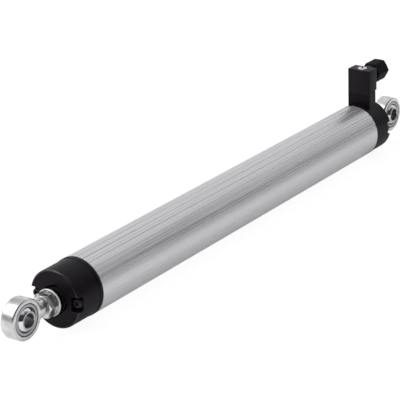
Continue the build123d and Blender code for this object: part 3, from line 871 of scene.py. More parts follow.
FINISHES: Dict[str, Finish] = {
    "anodised_tube": DrawnAluminium("anodised_extrusion", (0.715, 0.705, 0.727), 0.31),
    "black_nylon": BLACK_NYLON,
    "black_rubber": MouldedRubber("nitrile_rubber", (0.006, 0.006, 0.0065), 0.7),
    "zinc_steel": ZINC,
    "rod_steel": TurnedMetal("ground_rod", (0.74, 0.75, 0.76), 0.16, Axis.X),
    "ball_steel": BALL,
    "race_steel": RACE,
    "black_oxide": BLACK_OXIDE,
    "insert_brass": TurnedMetal("turned_brass", (0.78, 0.58, 0.27), 0.26, Axis.X, 0.0, 0.25),
    "bush_bronze": SinteredBronze("sintered_bronze", (0.55, 0.36, 0.17), 0.4),
    "board_green": WovenLaminate("glass_epoxy", (0.03, 0.16, 0.075), 0.3),
    "carbon_track": PrintedTrack("conductive_plastic", (0.025, 0.025, 0.027), 0.34),
    "silver_track": PrintedTrack("printed_silver", (0.72, 0.71, 0.67), 0.36, 0.85),
    "white_acetal": MouldedPolymer("acetal", (0.78, 0.77, 0.72), 0.4, 0.5, 0.008, 0.25, 1.1),
    "contact_metal": PlatedSteel("contact_alloy", (0.8, 0.68, 0.42), 0.2, 0.8, 0.004, 0.05),
    "grey_insert": MouldedPolymer("terminal_block", (0.09, 0.09, 0.095), 0.45),
    "tin_plate": PlatedSteel("tin_plate", (0.75, 0.75, 0.73), 0.34, 0.7, 0.006, 0.08),
    "wire_brown": WireSkin("brown_insulation", (0.16, 0.07, 0.03), 0.36),
    "wire_yellow": WireSkin("yellow_insulation", (0.75, 0.52, 0.05), 0.36),
    "wire_blue": WireSkin("blue_insulation", (0.03, 0.11, 0.42), 0.36),
}


# Making of pieces

WELD = 1e-4  # millimetres within which points are one
SPARE = 1.0  # millimetres by which a cutter stands out
UPRIGHT = 0.999  # share of its length that an upright edge rises
RIDGE = (0.46, 0.07)  # half widths of a thread's foot and top, in pitches
SHARP_ANGLE = math.radians(32)
HEX_REACH = 1 / math.cos(math.pi / 6)


class Blank:
    """A piece being shaped with mesh operators, in millimetres."""

    def __init__(self) -> None:
        """Starts empty."""
        self.mesh = bmesh.new()

    def turned(self, outline: Sequence[Point], axis: Axis, steps: int = 96) -> "Blank":
        """Adds a turned shape.

        Args:
            outline: Points (along, radius). A closed outline repeats its first point.
            axis: The axis, through the origin.
            steps: Facets round it.

        Returns:
            This blank.
        """
        mesh = self.mesh
        closed = outline[0] == outline[-1]
        points = list(outline[:-1] if closed else outline)
        corners = [mesh.verts.new(axis.seat(along, radius)) for along, radius in points]
        pairs = list(zip(corners, corners[1:]))
        if closed:
            pairs.append((corners[-1], corners[0]))
        edges = [mesh.edges.new(pair) for pair in pairs]
        bmesh.ops.spin(
            mesh,
            geom=corners + edges,
            cent=(0, 0, 0),
            axis=axis.value,
            angle=math.tau,
            steps=steps,
            use_merge=True,
        )
        bmesh.ops.remove_doubles(mesh, verts=mesh.verts, dist=WELD)
        bmesh.ops.recalc_face_normals(mesh, faces=mesh.faces)
        return self

    def bar(self, sides: int, radius: float, low: float, high: float) -> "Blank":
        """Adds a bar with regular sides, upright along Z.

        Args:
            sides: Number of sides.
            radius: Distance of the corners.
            low: Height of the foot.
            high: Height of the top.

        Returns:
            This blank.
        """
        foot = Matrix.Translation((0, 0, low))
        made = bmesh.ops.create_circle(
            self.mesh, cap_ends=True, segments=sides, radius=radius, matrix=foot
        )
        face = made["verts"][0].link_faces[0]
        grown = bmesh.ops.extrude_face_region(self.mesh, geom=[face])["geom"]
        risen = [item for item in grown if isinstance(item, bmesh.types.BMVert)]
        bmesh.ops.translate(self.mesh, verts=risen, vec=(0, 0, high - low))
        bmesh.ops.recalc_face_normals(self.mesh, faces=self.mesh.faces)
        return self

    def box(self, low: Sequence[float], high: Sequence[float]) -> "Blank":
        """Adds a box between two corners.

        Args:
            low: Lowest corner.
            high: Highest corner.

        Returns:
            This blank.
        """
        centre = [(a + b) / 2 for a, b in zip(low, high)]
        size = [b - a for a, b in zip(low, high)]
        shape = Matrix.Translation(centre) @ Matrix.Diagonal((*size, 1.0))
        bmesh.ops.create_cube(self.mesh, size=1.0, matrix=shape)
        return self

    def thread(
        self, start: float, end: float, root: float, crest: float, pitch: float, steps: int = 28
    ) -> "Blank":
        """Adds a helical ridge about X.

        Args:
            start: Where it begins.
            end: Where it ends.
            root: Radius at its foot.
            crest: Radius at its top.
            pitch: Advance of one turn.
            steps: Facets of one turn.

        Returns:
            This blank.
        """
        mesh = self.mesh
        foot, top = (share * pitch for share in RIDGE)
        outline = [(-foot, root), (-top, crest), (top, crest), (foot, root)]
        corners = [mesh.verts.new((start + along, 0, radius)) for along, radius in outline]
        edges = [mesh.edges.new(pair) for pair in zip(corners, corners[1:] + corners[:1])]
        turns = (end - start) / pitch
        total = round(turns * steps)
        bmesh.ops.spin(
            mesh,
            geom=corners + edges,
            cent=(0, 0, 0),
            axis=Axis.X.value,
            dvec=((end - start) / total, 0, 0),
            angle=-math.tau * turns,
            steps=total,
        )
        open_edges = [edge for edge in mesh.edges if edge.is_boundary]
        bmesh.ops.holes_fill(mesh, edges=open_edges)
        bmesh.ops.recalc_face_normals(mesh, faces=mesh.faces)
        return self

    def bevel(self, edges: List[bmesh.types.BMEdge], width: float, segments: int = 3) -> "Blank":
        """Rounds the given edges.

        Args:
            edges: The edges.
            width: Width of the round.
            segments: Facets across it.

        Returns:
            This blank.
        """
        bmesh.ops.bevel(
            self.mesh,
            geom=edges,
            offset=width,
            segments=segments,
            profile=0.5,
            affect="EDGES",
            clamp_overlap=True,
            material=-1,
        )
        return self

    def upright_edges(self) -> List[bmesh.types.BMEdge]:
        """Finds the edges that run along Z.

        Returns:
            The edges.
        """
        found = []
        for edge in self.mesh.edges:
            run = edge.verts[0].co - edge.verts[1].co
            if abs(run.z) > UPRIGHT * run.length:
                found.append(edge)
        return found

    def edges_above(self, height: float) -> List[bmesh.types.BMEdge]:
        """The edges whose both ends lie above a height."""
        return [e for e in self.mesh.edges if all(vert.co.z > height for vert in e.verts)]

    def shift(self, x: float = 0.0, y: float = 0.0, z: float = 0.0) -> "Blank":
        """Moves the whole blank."""
        bmesh.ops.translate(self.mesh, verts=self.mesh.verts, vec=(x, y, z))
        return self

    def turn(self, degrees: float, axis: Axis) -> "Blank":
        """Turns the whole blank.

        Args:
            degrees: How far.
            axis: The axis, through the origin.

        Returns:
            This blank.
        """
        spun = Matrix.Rotation(math.radians(degrees), 3, Vector(axis.value))
        bmesh.ops.rotate(self.mesh, verts=self.mesh.verts, cent=(0, 0, 0), matrix=spun)
        return self

    def piece(self, name: str) -> "Piece":
        """Turns the blank into an object, in metres.

        Args:
            name: The object's name.

        Returns:
            The piece.
        """
        bmesh.ops.scale(self.mesh, verts=self.mesh.verts, vec=(MM, MM, MM))
        data = bpy.data.meshes.new(name)
        self.mesh.to_mesh(data)
        self.mesh.free()
        made = bpy.data.objects.new(name, data)
        bpy.context.scene.collection.objects.link(made)
        return Piece(made)


class Piece:
    """A shown piece whose object stays at the origin."""

    def __init__(self, body: bpy.types.Object) -> None:
        """Keeps the object."""
        self.object = body

    def settle(self) -> "Piece":
        """Applies the modifiers.

        Returns:
            This piece.
        """
        bpy.context.view_layer.update()
        shown = self.object.evaluated_get(bpy.context.evaluated_depsgraph_get())
        mesh = bpy.data.meshes.new_from_object(shown)
        self.object.modifiers.clear()
        self.object.data = mesh
        return self

    def cut(self, tool: Blank, how: Cut = Cut.AWAY) -> "Piece":
        """Works the piece with a tool.

        Args:
            tool: The tool's shape, in millimetres.
            how: What the tool does.

        Returns:
            This piece.
        """
        cutter = tool.piece("cutter").object
        step = self.object.modifiers.new("cut", "BOOLEAN")
        step.operation = how.value
        step.solver = "EXACT"
        step.object = cutter
        self.settle()
        bpy.data.objects.remove(cutter)
        return self

    def forge(self, voxel: float, rounds: int) -> "Piece":
        """Fuses crossing shapes into one skin with soft transitions.

        Args:
            voxel: Size of the skin's facets.
            rounds: Smoothing passes.

        Returns:
            This piece.
        """
        fuse = self.object.modifiers.new("fuse", "REMESH")
        fuse.mode = "VOXEL"
        fuse.voxel_size = voxel * MM
        ease = self.object.modifiers.new("ease", "SMOOTH")
        ease.factor = 0.5
        ease.iterations = rounds
        return self.settle()

    def show(self, finish: Finish, body: str, replaced: Sequence[str], slot: str) -> "Piece":
        """Finishes the piece and hangs it on its body.

        Args:
            finish: Its finish.
            body: The CAD body that it rides on.
            replaced: The CAD nodes that it stands for.
            slot: The record's material slot; not used.

        Returns:
            This piece.
        """
        mesh = self.object.data
        finish.cover(mesh)
        mesh.shade_smooth()
        mesh.set_sharp_from_angle(angle=SHARP_ANGLE)
        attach(self.object, body)
        if replaced:
            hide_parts(*replaced)
        log.info("%s: %d faces on %s", self.object.name, len(mesh.polygons), body)
        return self


# Rod ends


@dataclass
class RodEnd:
    """Self-aligning rod end: forged eye, threaded shank, bearing ring and ball.

    Each row of neck_hoops is a distance from the ball, a half width and a half height.
    """

    end: str
    body: str
    ball_body: str
    faces_back: bool
    centre_x: float = 0.0
    eye_radius: float = 12.0
    eye_half_width: float = 4.5
    eye_crown: float = 0.12
    crown_steps: int = 4
    eye_edge: float = 0.6
    forge_voxel: float = 0.2
    forge_rounds: int = 4
    seat_radius: float = 9.1075
    seat_chamfer: float = 0.32
    neck_hoops: Tuple[Triple, ...] = (
        (5.0, 4.0, 9.0),
        (7.5, 4.2, 8.1),
        (9.2, 4.45, 7.2),
        (10.8, 4.95, 6.25),
        (12.2, 5.35, 5.6),
        (13.0, 5.5, 5.5),
        (14.0, 5.5, 5.5),
        (14.4, 5.05, 5.05),
    )
    shank_start: float = 12.4
    shank_end: float = 34.4
    shank_chamfer: Point = (0.3, 0.4)
    core_rise: float = 0.02
    thread_inset: Point = (1.0, 0.9)
    thread_root: float = 3.4
    thread_crest: float = 3.99
    thread_pitch: float = 1.25
    ball_radius: float = 7.9375
    ball_half_width: float = 6.0
    ball_bore: float = 4.0
    bore_edge: float = 0.4
    socket_gap: float = 0.05
    ring_half_width: float = 4.3
    ring_radius: float = 9.0875
    ring_corner: float = 0.3
    ring_mouth: Point = (0.35, 0.315)
    eye_oil_and_shade: float = 0.15
    lip_oil_and_shade: Point = (0.25, 0.5)
    seat_oil_and_shade: float = 0.35
    facets: int = 128
    hoop_facets: int = 64
    shank_facets: int = 48
    ring_steps: int = 8
    ball_steps: int = 14

    def place(self, blank: Blank) -> Blank:
        """Takes a blank, drawn about the ball with its shank towards +X, to its place.

        Args:
            blank: The blank.

        Returns:
            The same blank, turned to its side and moved.
        """
        if self.faces_back:
            blank.turn(180.0, Axis.Z)
        return blank.shift(self.centre_x)

    def forging(self) -> Piece:
        """Makes the eye and neck, fused and then bored for the ring.

        Returns:
            The piece.
        """
        half, edge = self.eye_half_width, self.eye_edge
        rim = self.eye_radius - self.eye_crown
        outline: List[Point] = [(-half, 0.0), (-half, rim - edge), (edge - half, rim)]
        for step in range(1 - self.crown_steps, self.crown_steps):
            share = step / self.crown_steps
            outline.append((share * (half - edge), self.eye_radius - self.eye_crown * share**2))
        outline += [(half - edge, rim), (half, rim - edge), (half, 0.0)]
        blank = Blank().turned(outline, Axis.Y, self.facets)
        self.grow_neck(blank)
        piece = self.place(blank).piece(self.end + "_eye_forging")
        piece.forge(self.forge_voxel, self.forge_rounds)
        chamfer, seat = self.seat_chamfer, self.seat_radius
        mouth, beyond = seat + chamfer, half + SPARE
        bore = [
            (-beyond, 0.0),
            (-beyond, mouth),
            (-half, mouth),
            (chamfer - half, seat),
            (half - chamfer, seat),
            (half, mouth),
            (beyond, mouth),
            (beyond, 0.0),
        ]
        return piece.cut(self.place(Blank().turned(bore, Axis.Y, self.facets)))

    def grow_neck(self, blank: Blank) -> None:
        """Adds the neck as a skin over hoops, from inside the eye to the shoulder.

        Args:
            blank: The blank that holds the eye.
        """
        last: List[bmesh.types.BMEdge] = []
        for number, (distance, wide, tall) in enumerate(self.neck_hoops):
            shape = Matrix.Translation((distance, 0, 0)) @ Matrix.Rotation(math.pi / 2, 4, "Y")
            ring = bmesh.ops.create_circle(
                blank.mesh,
                cap_ends=number in (0, len(self.neck_hoops) - 1),
                segments=self.hoop_facets,
                radius=1.0,
                matrix=shape @ Matrix.Diagonal((tall, wide, 1, 1)),
            )["verts"]
            edges = list({edge for vert in ring for edge in vert.link_edges})
            if last:
                bmesh.ops.bridge_loops(blank.mesh, edges=last + edges)
            last = edges
        bmesh.ops.recalc_face_normals(blank.mesh, faces=blank.mesh.faces)

    def shank(self) -> Piece:
        """Makes the threaded shank, from inside the neck to its chamfered end.

        Returns:
            The piece.
        """
        root, start, end = self.thread_root, self.shank_start, self.shank_end
        core, (back, inward) = root + self.core_rise, self.shank_chamfer
        outline = [(start, 0.0), (start, core)]
        outline += [(end - back, core), (end, root - inward), (end, 0.0)]
        blank = Blank().turned(outline, Axis.X, self.shank_facets)
        first, last = self.thread_inset
        blank.thread(start + first, end - last, root, self.thread_crest, self.thread_pitch)
        return self.place(blank).piece(self.end + "_shank_thread")

    @staticmethod
    def sphere(radius: float, half: float, steps: int) -> List[Point]:
        """Draws the outline of a sphere between two faces.

        Args:
            radius: The sphere's radius.
            half: Distance of the faces from the middle.
            steps: Steps from the middle to a face.

        Returns:
            Its points (along, radius).
        """
        places = [half * step / steps for step in range(-steps, steps + 1)]
        return [(along, math.sqrt(radius**2 - along**2)) for along in places]

    def ring(self) -> Piece:
        """Makes the bearing ring, with a spherical bore and broken corners.

        Returns:
            The piece.
        """
        half, outer, corner = self.ring_half_width, self.ring_radius, self.ring_corner
        deep, rise = self.ring_mouth
        sphere = self.sphere(self.ball_radius + self.socket_gap, half - deep, self.ring_steps)
        lip = sphere[0][1] + rise
        outline = sphere + [
            (half, lip),
            (half, outer - corner),
            (half - corner, outer),
            (corner - half, outer),
            (-half, outer - corner),
            (-half, lip),
        ]
        blank = Blank().turned(outline + outline[:1], Axis.Y, self.facets)
        return self.place(blank).piece(self.end + "_bearing_ring")

    def ball(self) -> Piece:
        """Makes the ball, with flat faces and a bore with broken edges.

        Returns:
            The piece.
        """
        half, bore, edge = self.ball_half_width, self.ball_bore, self.bore_edge
        outline = self.sphere(self.ball_radius, half, self.ball_steps)
        outline += [(half, bore + edge), (half - edge, bore)]
        outline += [(edge - half, bore), (-half, bore + edge)]
        blank = Blank().turned(outline + outline[:1], Axis.Y, self.facets)
        return self.place(blank).piece(self.end + "_lapped_ball")

    def build(self) -> None:
        """Makes and dresses the rod end's pieces."""
        low, high = reach(self.end + "_ball")
        self.centre_x = (low.x + high.x) / 2
        lip = math.sqrt(self.ball_radius**2 - self.ring_half_width**2)
        flat = math.sqrt(self.ball_radius**2 - self.ball_half_width**2)
        # Dark rings of oil and painted shade: the race next to the ball and to the eye, the eye
        # next to the race.
        away, width = self.lip_oil_and_shade
        oil_and_shade = ((lip + away, width), (self.seat_radius, self.seat_oil_and_shade))
        forged = replace(ZINC, name=self.end + "_eye_zinc", centre_x=self.centre_x)
        forged = replace(forged, seam=self.seat_radius + self.eye_oil_and_shade)
        turned = replace(RACE, name=self.end + "_race_steel", centre_x=self.centre_x, seams=oil_and_shade)
        lapped = replace(BALL, name=self.end + "_ball_steel", centre_x=self.centre_x)
        lapped = replace(lapped, bore=self.ball_bore, flat_to=flat)
        self.forging().show(forged, self.body, [self.end + "_rod_end"], "zinc_steel")
        self.shank().show(THREAD_ZINC, self.body, [], "zinc_steel")
        self.ring().show(turned, self.body, [self.end + "_race"], "race_steel")
        self.ball().show(lapped, self.ball_body, [self.end + "_ball"], "ball_steel")


# Head screws


@dataclass
class HeadScrews:
    """The two socket screws of a head, with knurled caps."""

    end: str
    faces_back: bool
    shank_radius: float = 1.5
    shank_chamfer: float = 0.4
    shank_overlap: float = 0.3
    cap_radius: float = 2.5
    cap_height: float = 2.6
    cap_edge: float = 0.22
    socket_radius: float = 1.44
    socket_depth: float = 1.3
    knurls: int = 36
    valley_share: float = 0.955
    shank_facets: int = 32

    def __post_init__(self) -> None:
        """Takes the places from the CAD node."""
        low, high = reach(self.end + "_head_screws")
        self.offset_y = high.y - self.cap_radius
        if self.faces_back:
            self.seat_x, self.tip_x = low.x + self.cap_height, high.x
        else:
            self.seat_x, self.tip_x = high.x - self.cap_height, low.x

    def cap(self) -> Piece:
        """Makes one screw, upright with its seat at zero.

        Returns:
            The piece.
        """
        blank = Blank().bar(2 * self.knurls, self.cap_radius, 0.0, self.cap_height)
        valleys = [vert for vert in blank.mesh.verts if round(self.tooth(vert)) % 2]
        inward = (self.valley_share, self.valley_share, 1.0)
        bmesh.ops.scale(blank.mesh, verts=valleys, vec=inward)
        blank.bevel(blank.edges_above(self.cap_height / 2), self.cap_edge, 2)
        tip, radius, overlap = -abs(self.tip_x - self.seat_x), self.shank_radius, self.shank_overlap
        shank = [(tip, 0.0), (tip, radius - self.shank_chamfer), (tip + self.shank_chamfer, radius)]
        shank += [(overlap, radius), (overlap, 0.0)]
        piece = blank.turned(shank, Axis.Z, self.shank_facets).piece("cap")
        floor = self.cap_height - self.socket_depth
        return piece.cut(Blank().bar(6, self.socket_radius, floor, self.cap_height + SPARE))

    def tooth(self, vert: bmesh.types.BMVert) -> float:
        """Number of the knurl corner that a point of the cap's rim lies on."""
        return math.atan2(vert.co.y, vert.co.x) / math.tau * 2 * self.knurls + 4 * self.knurls

    def build(self) -> None:
        """Makes both screws as one piece."""
        one = self.cap().object
        both = Blank()
        spun = Matrix.Rotation(math.pi / 2 * (-1 if self.faces_back else 1), 3, "Y")
        for side in (-1, 1):
            both.mesh.from_mesh(one.data)
            fresh = both.mesh.verts[-len(one.data.vertices):]
            bmesh.ops.scale(both.mesh, verts=fresh, vec=(1 / MM, 1 / MM, 1 / MM))
            bmesh.ops.rotate(both.mesh, verts=fresh, cent=(0, 0, 0), matrix=spun)
            seat = (self.seat_x, side * self.offset_y, 0)
            bmesh.ops.translate(both.mesh, verts=fresh, vec=seat)
        bpy.data.objects.remove(one)
        node = self.end + "_head_screws"
        both.piece(self.end + "_cap_screws").show(BLACK_OXIDE, "housing", [node], "black_oxide")


# Plug connector


@dataclass
class PlugConnector:
    """Elbow plug on the rear head: housing, gland nut and centre screw.

    Each pair of screw_rim is a depth below the screw's top and an inset from its radius.
    """

    depth: float = 10.0
    wall: float = 1.3
    top_wall: float = 3.0
    edge: float = 0.7
    lid_edge: float = 0.35
    boss_radius: float = 5.8
    boss_chamfer: float = 0.3
    boss_foot: float = 0.5
    nut_width: float = 13.0
    nut_edge: float = 0.35
    nut_chamfer: Point = (0.75, 0.2)
    nut_face_inset: float = 0.5
    nut_hole: float = 3.4
    nut_hole_chamfer: float = 0.5
    nut_wall: float = 2.0
    stub_radius: float = 5.0
    stub_gap: float = 0.1
    grommet_radius: float = 4.02
    passage_radius: float = 3.2
    screw_radius: float = 1.25
    screw_gap: float = 0.1
    screw_head_radius: float = 3.2
    screw_head_height: float = 1.8
    screw_rim: Tuple[Point, ...] = ((0.45, 0.0), (0.18, 0.1), (0.03, 0.4), (0.0, 0.8))
    slot_half_width: float = 0.5
    slot_depth: float = 0.95
    slot_turn: float = -62.0
    recess: float = 1.4
    recess_gap: float = 0.12
    recess_chamfer: float = 0.25
    facets: int = 64
    cone_facets: int = 96
    bore_facets: int = 32

    def __post_init__(self) -> None:
        """Takes the places from the CAD nodes."""
        low, high = reach("plug_housing")
        self.stub_back_x, self.front_x = low.x, high.x
        self.back_x = high.x - self.depth
        self.centre_x = (self.back_x + self.front_x) / 2
        self.half_width, self.bottom_z, self.top_z = high.y, low.z, high.z
        low, high = reach("gland_nut")
        self.nut_back_x, self.nut_front_x = low.x, high.x
        self.gland_z = (low.z + high.z) / 2
        self.grommet_front_x = reach("gland_grommet")[1].x
        self.screw_foot_z = reach("centre_screw")[0].z

    def about_gland(self, outline: Sequence[Point], facets: Optional[int] = None) -> Blank:
        """Turns an outline about the gland's axis, which lies along X."""
        return Blank().turned(outline, Axis.X, facets or self.facets).shift(z=self.gland_z)

    def rod_x(self, x0: float, x1: float, radius: float) -> Blank:
        """Round bar along X on the gland's axis."""
        return self.about_gland([(x0, 0.0), (x0, radius), (x1, radius), (x1, 0.0)])

    def housing(self) -> Piece:
        """Makes the hollow elbow with rounded corners, boss and threaded stub.

        Returns:
            The piece.
        """
        blank = Blank().box(
            (self.back_x, -self.half_width, self.bottom_z),
            (self.front_x, self.half_width, self.top_z),
        )
        blank.bevel(blank.upright_edges(), self.edge, 4)
        blank.bevel(blank.edges_above(self.top_z - WELD), self.lid_edge, 3)
        piece = blank.piece("plug_elbow")
        tip_x, root_x, foot = self.nut_front_x, self.back_x + self.wall / 2, self.boss_foot
        boss = [
            (tip_x, 0.0),
            (tip_x, self.boss_radius - self.boss_chamfer),
            (tip_x + self.boss_chamfer, self.boss_radius),
            (self.back_x - foot, self.boss_radius),
            (self.back_x, self.boss_radius + foot),
            (root_x, self.boss_radius + foot),
            (root_x, 0.0),
        ]
        piece.cut(self.about_gland(boss), Cut.JOIN)
        piece.cut(self.rod_x(self.stub_back_x, tip_x + SPARE, self.stub_radius), Cut.JOIN)
        hollow = Blank().box(
            (self.back_x + self.wall, self.wall - self.half_width, self.bottom_z - SPARE),
            (self.front_x - self.wall, self.half_width - self.wall, self.top_z - self.top_wall),
        )
        piece.cut(hollow)
        start, end = self.stub_back_x - SPARE, self.back_x + self.wall + SPARE
        piece.cut(self.rod_x(start, self.grommet_front_x, self.grommet_radius))
        piece.cut(self.rod_x(self.stub_back_x, end, self.passage_radius))
        hole, sink = self.screw_radius + self.screw_gap, self.screw_head_radius + self.recess_gap
        top, floor, chamfer = self.top_z, self.top_z - self.recess, self.recess_chamfer
        beyond = top + SPARE
        bar = Blank().bar(self.bore_facets, hole, top - self.top_wall - SPARE, beyond)
        piece.cut(bar.shift(self.centre_x))
        mouth = [
            (floor, 0.0),
            (floor, sink),
            (top - chamfer, sink),
            (top, sink + chamfer),
            (beyond, sink + chamfer),
            (beyond, 0.0),
        ]
        return piece.cut(Blank().turned(mouth, Axis.Z, self.facets).shift(self.centre_x))

    def nut(self) -> Piece:
        """Makes the hexagonal gland nut, with rounded corners, chamfered ends and stepped bore.

        Returns:
            The piece.
        """
        across, low, high = self.nut_width / 2, self.nut_back_x, self.nut_front_x
        blank = Blank().bar(6, across * HEX_REACH, low, high)
        blank.bevel(blank.upright_edges(), self.nut_edge, 3).turn(90.0, Axis.Y)
        piece = blank.shift(0, 0, self.gland_z).piece("gland_cap_nut")
        slope, spare = self.nut_chamfer
        corner, face = across * HEX_REACH + spare, across - self.nut_face_inset
        cone = [(low, 0.0), (low, face), (low + slope, corner)]
        cone += [(high - slope, corner), (high, face), (high, 0.0)]
        piece.cut(self.about_gland(cone, self.cone_facets), Cut.COMMON)
        step = low + self.nut_wall
        piece.cut(self.rod_x(step, high + SPARE, self.stub_radius + self.stub_gap))
        hole, chamfer = self.nut_hole, self.nut_hole_chamfer
        start, end = low - SPARE, step + SPARE
        outline = [(start, 0.0), (start, hole + chamfer), (low, hole + chamfer)]
        outline += [(low + chamfer, hole), (end, hole), (end, 0.0)]
        return piece.cut(self.about_gland(outline))

    def screw(self) -> Piece:
        """Makes the slotted centre screw, with a rounded rim.

        Returns:
            The piece.
        """
        foot, shank = self.screw_foot_z, self.screw_radius
        radius, seat = self.screw_head_radius, self.top_z - self.recess
        top = seat + self.screw_head_height
        outline = [(foot, 0.0), (foot, shank), (seat, shank), (seat, radius)]
        outline += [(top - down, radius - inward) for down, inward in self.screw_rim]
        outline.append((top, 0.0))
        blank = Blank().turned(outline, Axis.Z, self.facets).shift(self.centre_x)
        piece = blank.piece("plug_centre_screw")
        half, beyond = self.slot_half_width, radius + SPARE
        slot = Blank().box(
            (-half, -beyond, top - self.slot_depth),
            (half, beyond, top + SPARE),
        )
        return piece.cut(slot.turn(self.slot_turn, Axis.Z).shift(self.centre_x))

    def build(self) -> None:
        """Makes and dresses the plug's pieces."""
        self.housing().show(BLACK_NYLON, "housing", ["plug_housing"], "black_nylon")
        self.nut().show(GLAND_NYLON, "housing", ["gland_nut"], "black_nylon")
        self.screw().show(ZINC, "housing", ["centre_screw"], "zinc_steel")


# Finishes of the CAD nodes


def own_finishes() -> Dict[str, Finish]:
    """Gives the finishes of the nodes that differ from their slot's.

    Returns:
        The finish of each such node.
    """
    front, rear = reach("front_head")[1].x, reach("rear_head")[0].x
    return {
        "front_head": replace(HEAD_NYLON, name="front_nylon", rim_x=front),
        "rear_head": replace(HEAD_NYLON, name="rear_nylon", rim_x=rear),
        "rod_washer": WASHER_ZINC,
        "rod_lock_nut": NUT_ZINC,
        "rear_lock_nut": NUT_ZINC,
    }


@dataclass
class PlainNodes:
    """The CAD nodes, most of which keep their shape: each has its slot's finish or its own."""

    own: Dict[str, Finish] = field(default_factory=own_finishes)

    def build(self) -> None:
        """Dresses every CAD node."""
        entries = frame["record"]["subparts"]
        for entry in entries:
            node = entry["node"]
            finish = self.own.get(node, FINISHES[entry["material_slot"]])
            finish.cover(frame["nodes"][node].data)
        log.info("%d nodes dressed", len(entries))


# Studio


@dataclass(frozen=True)
class Card:
    """A dark card in the reflected sky: its fades along X, Y and Z, and how dark it is."""

    ahead: Point
    side: Point
    height: Point
    depth: float


@dataclass(frozen=True)
class Softbox:
    """A rectangular lamp. Lengths are in metres and its power is in watts."""

    name: str
    at: Triple
    aim: Triple
    size: Point
    power: float

    def hang(self) -> None:
        """Adds the lamp to the scene."""
        lamp = bpy.data.lights.new(self.name, "AREA")
        lamp.shape = "RECTANGLE"
        lamp.size, lamp.size_y = self.size
        lamp.energy = self.power
        held = bpy.data.objects.new(self.name, lamp)
        held.location = self.at
        look = Vector(self.aim) - Vector(self.at)
        held.rotation_euler = look.to_track_quat("-Z", "Y").to_euler()
        bpy.context.scene.collection.objects.link(held)


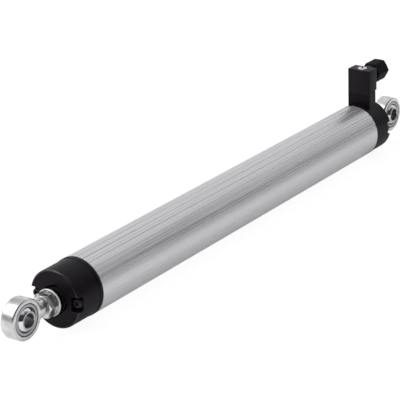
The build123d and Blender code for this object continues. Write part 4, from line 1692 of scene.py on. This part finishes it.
@dataclass
class Studio:
    """Floor, sky, lamp and camera. Lengths are in metres.

    The fades are the values of a direction between which a light or card sets in.
    """

    floor_z: float = -0.01777
    floor_size: float = 6.0
    floor_share: float = 0.85
    floor_mirrored: float = 0.09
    floor_glow: float = 1.09
    paper: Tuple[Colour, Colour] = ((0.93, 0.93, 0.93), (0.97, 0.97, 0.97))
    fibre: Grain = Grain(400.0, 3.0, 0.6)
    sky_bright: float = 1.0
    sky_dark: float = 0.05
    sky_light: float = 0.8
    front_way: Point = (0.78, 0.62)
    band_fade: Point = (0.47, 0.86)
    band_slope: float = 0.33
    behind_fade: Point = (-0.16, -0.5)
    cards: Tuple[Card, ...] = (
        Card((-0.05, -0.35), (-0.47, -0.6), (0.36, 0.5), 0.4),
        Card((0.05, -0.15), (0.3, 0.45), (0.62, 0.75), 0.55),
    )
    left_fade: Point = (-0.35, -0.62)
    left_light: float = 0.4
    back_fade: Point = (-0.4, -0.65)
    back_light: float = 0.17
    key: Softbox = Softbox("key_box", (1.1, -0.8, 1.12), (0.36, 0.0, 0.0), (1.1, 1.1), 11.0)
    camera_at: Triple = (1.043265, 0.597782, 0.408261)
    camera_right: Triple = (-0.57839, 0.814985, -0.035555)
    camera_up: Triple = (-0.316742, -0.184198, 0.930455)
    lens: float = 162.0
    sensor: float = 36.0
    view_end: float = 20.0

    def floor(self) -> None:
        """Lays a pale floor that glows a little to the eye and keeps the shadow."""
        mesh = bmesh.new()
        bmesh.ops.create_grid(mesh, x_segments=4, y_segments=4, size=self.floor_size)
        bmesh.ops.translate(mesh, verts=mesh.verts, vec=(0, 0, self.floor_z))
        data = bpy.data.meshes.new("studio_floor")
        mesh.to_mesh(data)
        mesh.free()
        sheet = bpy.data.objects.new("studio_floor", data)
        bpy.context.scene.collection.objects.link(sheet)
        material = bpy.data.materials.new("white_paper")
        material.use_nodes = True
        graph = Graph(material.node_tree)
        tone = graph.mix(graph.noise(graph.here(), self.fibre), *self.paper)
        matt = graph.node("ShaderNodeBsdfDiffuse", inputs={"Color": tone})
        glow = graph.node("ShaderNodeEmission", inputs={"Strength": self.floor_glow})
        direct, seen = graph.seen_rays()
        share = direct * self.floor_share + (seen - direct) * self.floor_mirrored
        both = graph.node("ShaderNodeMixShader", inputs={0: share, 1: matt, 2: glow})
        graph.node("ShaderNodeOutputMaterial", inputs={"Surface": both})
        data.materials.append(material)

    def sky(self) -> None:
        """Hangs a white background.

        Reflections see it bright above and behind a low dark band in front, with dark cards
        in its upper part and two weaker lights at the left and the back.
        """
        world = bpy.data.worlds.new("studio_sky")
        world.use_nodes = True
        bpy.context.scene.world = world
        graph = Graph(world.node_tree)
        ahead, side, height = graph.split(graph.node("ShaderNodeTexCoord", out="Generated"))
        toward = ahead * self.front_way[0] + side * self.front_way[1]
        bright = (height - toward * self.band_slope).step(*self.band_fade)
        bright = bright.larger(toward.step(*self.behind_fade))
        for card in self.cards:
            dark = side.step(*card.side) * ahead.step(*card.ahead) * height.step(*card.height)
            bright = bright - dark * card.depth
        bright = bright.larger(side.step(*self.left_fade) * self.left_light)
        bright = bright.larger(ahead.step(*self.back_fade) * self.back_light)
        mirrored = bright * (self.sky_bright - self.sky_dark) + self.sky_dark
        direct, seen = graph.seen_rays()
        strength = direct + (seen - direct) * mirrored + (1 - seen) * self.sky_light
        back = graph.node("ShaderNodeBackground", inputs={"Strength": strength})
        graph.node("ShaderNodeOutputWorld", inputs={"Surface": back})

    def camera(self) -> None:
        """Sets the camera at the photograph's place and angle."""
        lens = bpy.data.cameras.new("studio_camera")
        lens.lens = self.lens
        lens.sensor_width = self.sensor
        lens.clip_end = self.view_end
        eye = bpy.data.objects.new("studio_camera", lens)
        right, up = Vector(self.camera_right), Vector(self.camera_up)
        turned = Matrix((right, up, right.cross(up))).transposed()
        eye.matrix_world = Matrix.Translation(self.camera_at) @ turned.to_4x4()
        bpy.context.scene.collection.objects.link(eye)
        bpy.context.scene.camera = eye

    def build(self) -> None:
        """Sets up the studio."""
        self.floor()
        self.sky()
        self.key.hang()
        self.camera()
        bpy.context.scene.view_settings.view_transform = "Standard"


def main() -> None:
    """Builds the sub-assemblies in order."""
    logging.basicConfig(level=logging.INFO, format="%(name)s: %(message)s")
    PlainNodes().build()
    RodEnd("front", "rod", "front_swivel", True).build()
    RodEnd("rear", "housing", "rear_swivel", False).build()
    HeadScrews("front", False).build()
    HeadScrews("rear", True).build()
    PlugConnector().build()
    Studio().build()


if __name__ == "__main__":
    main()
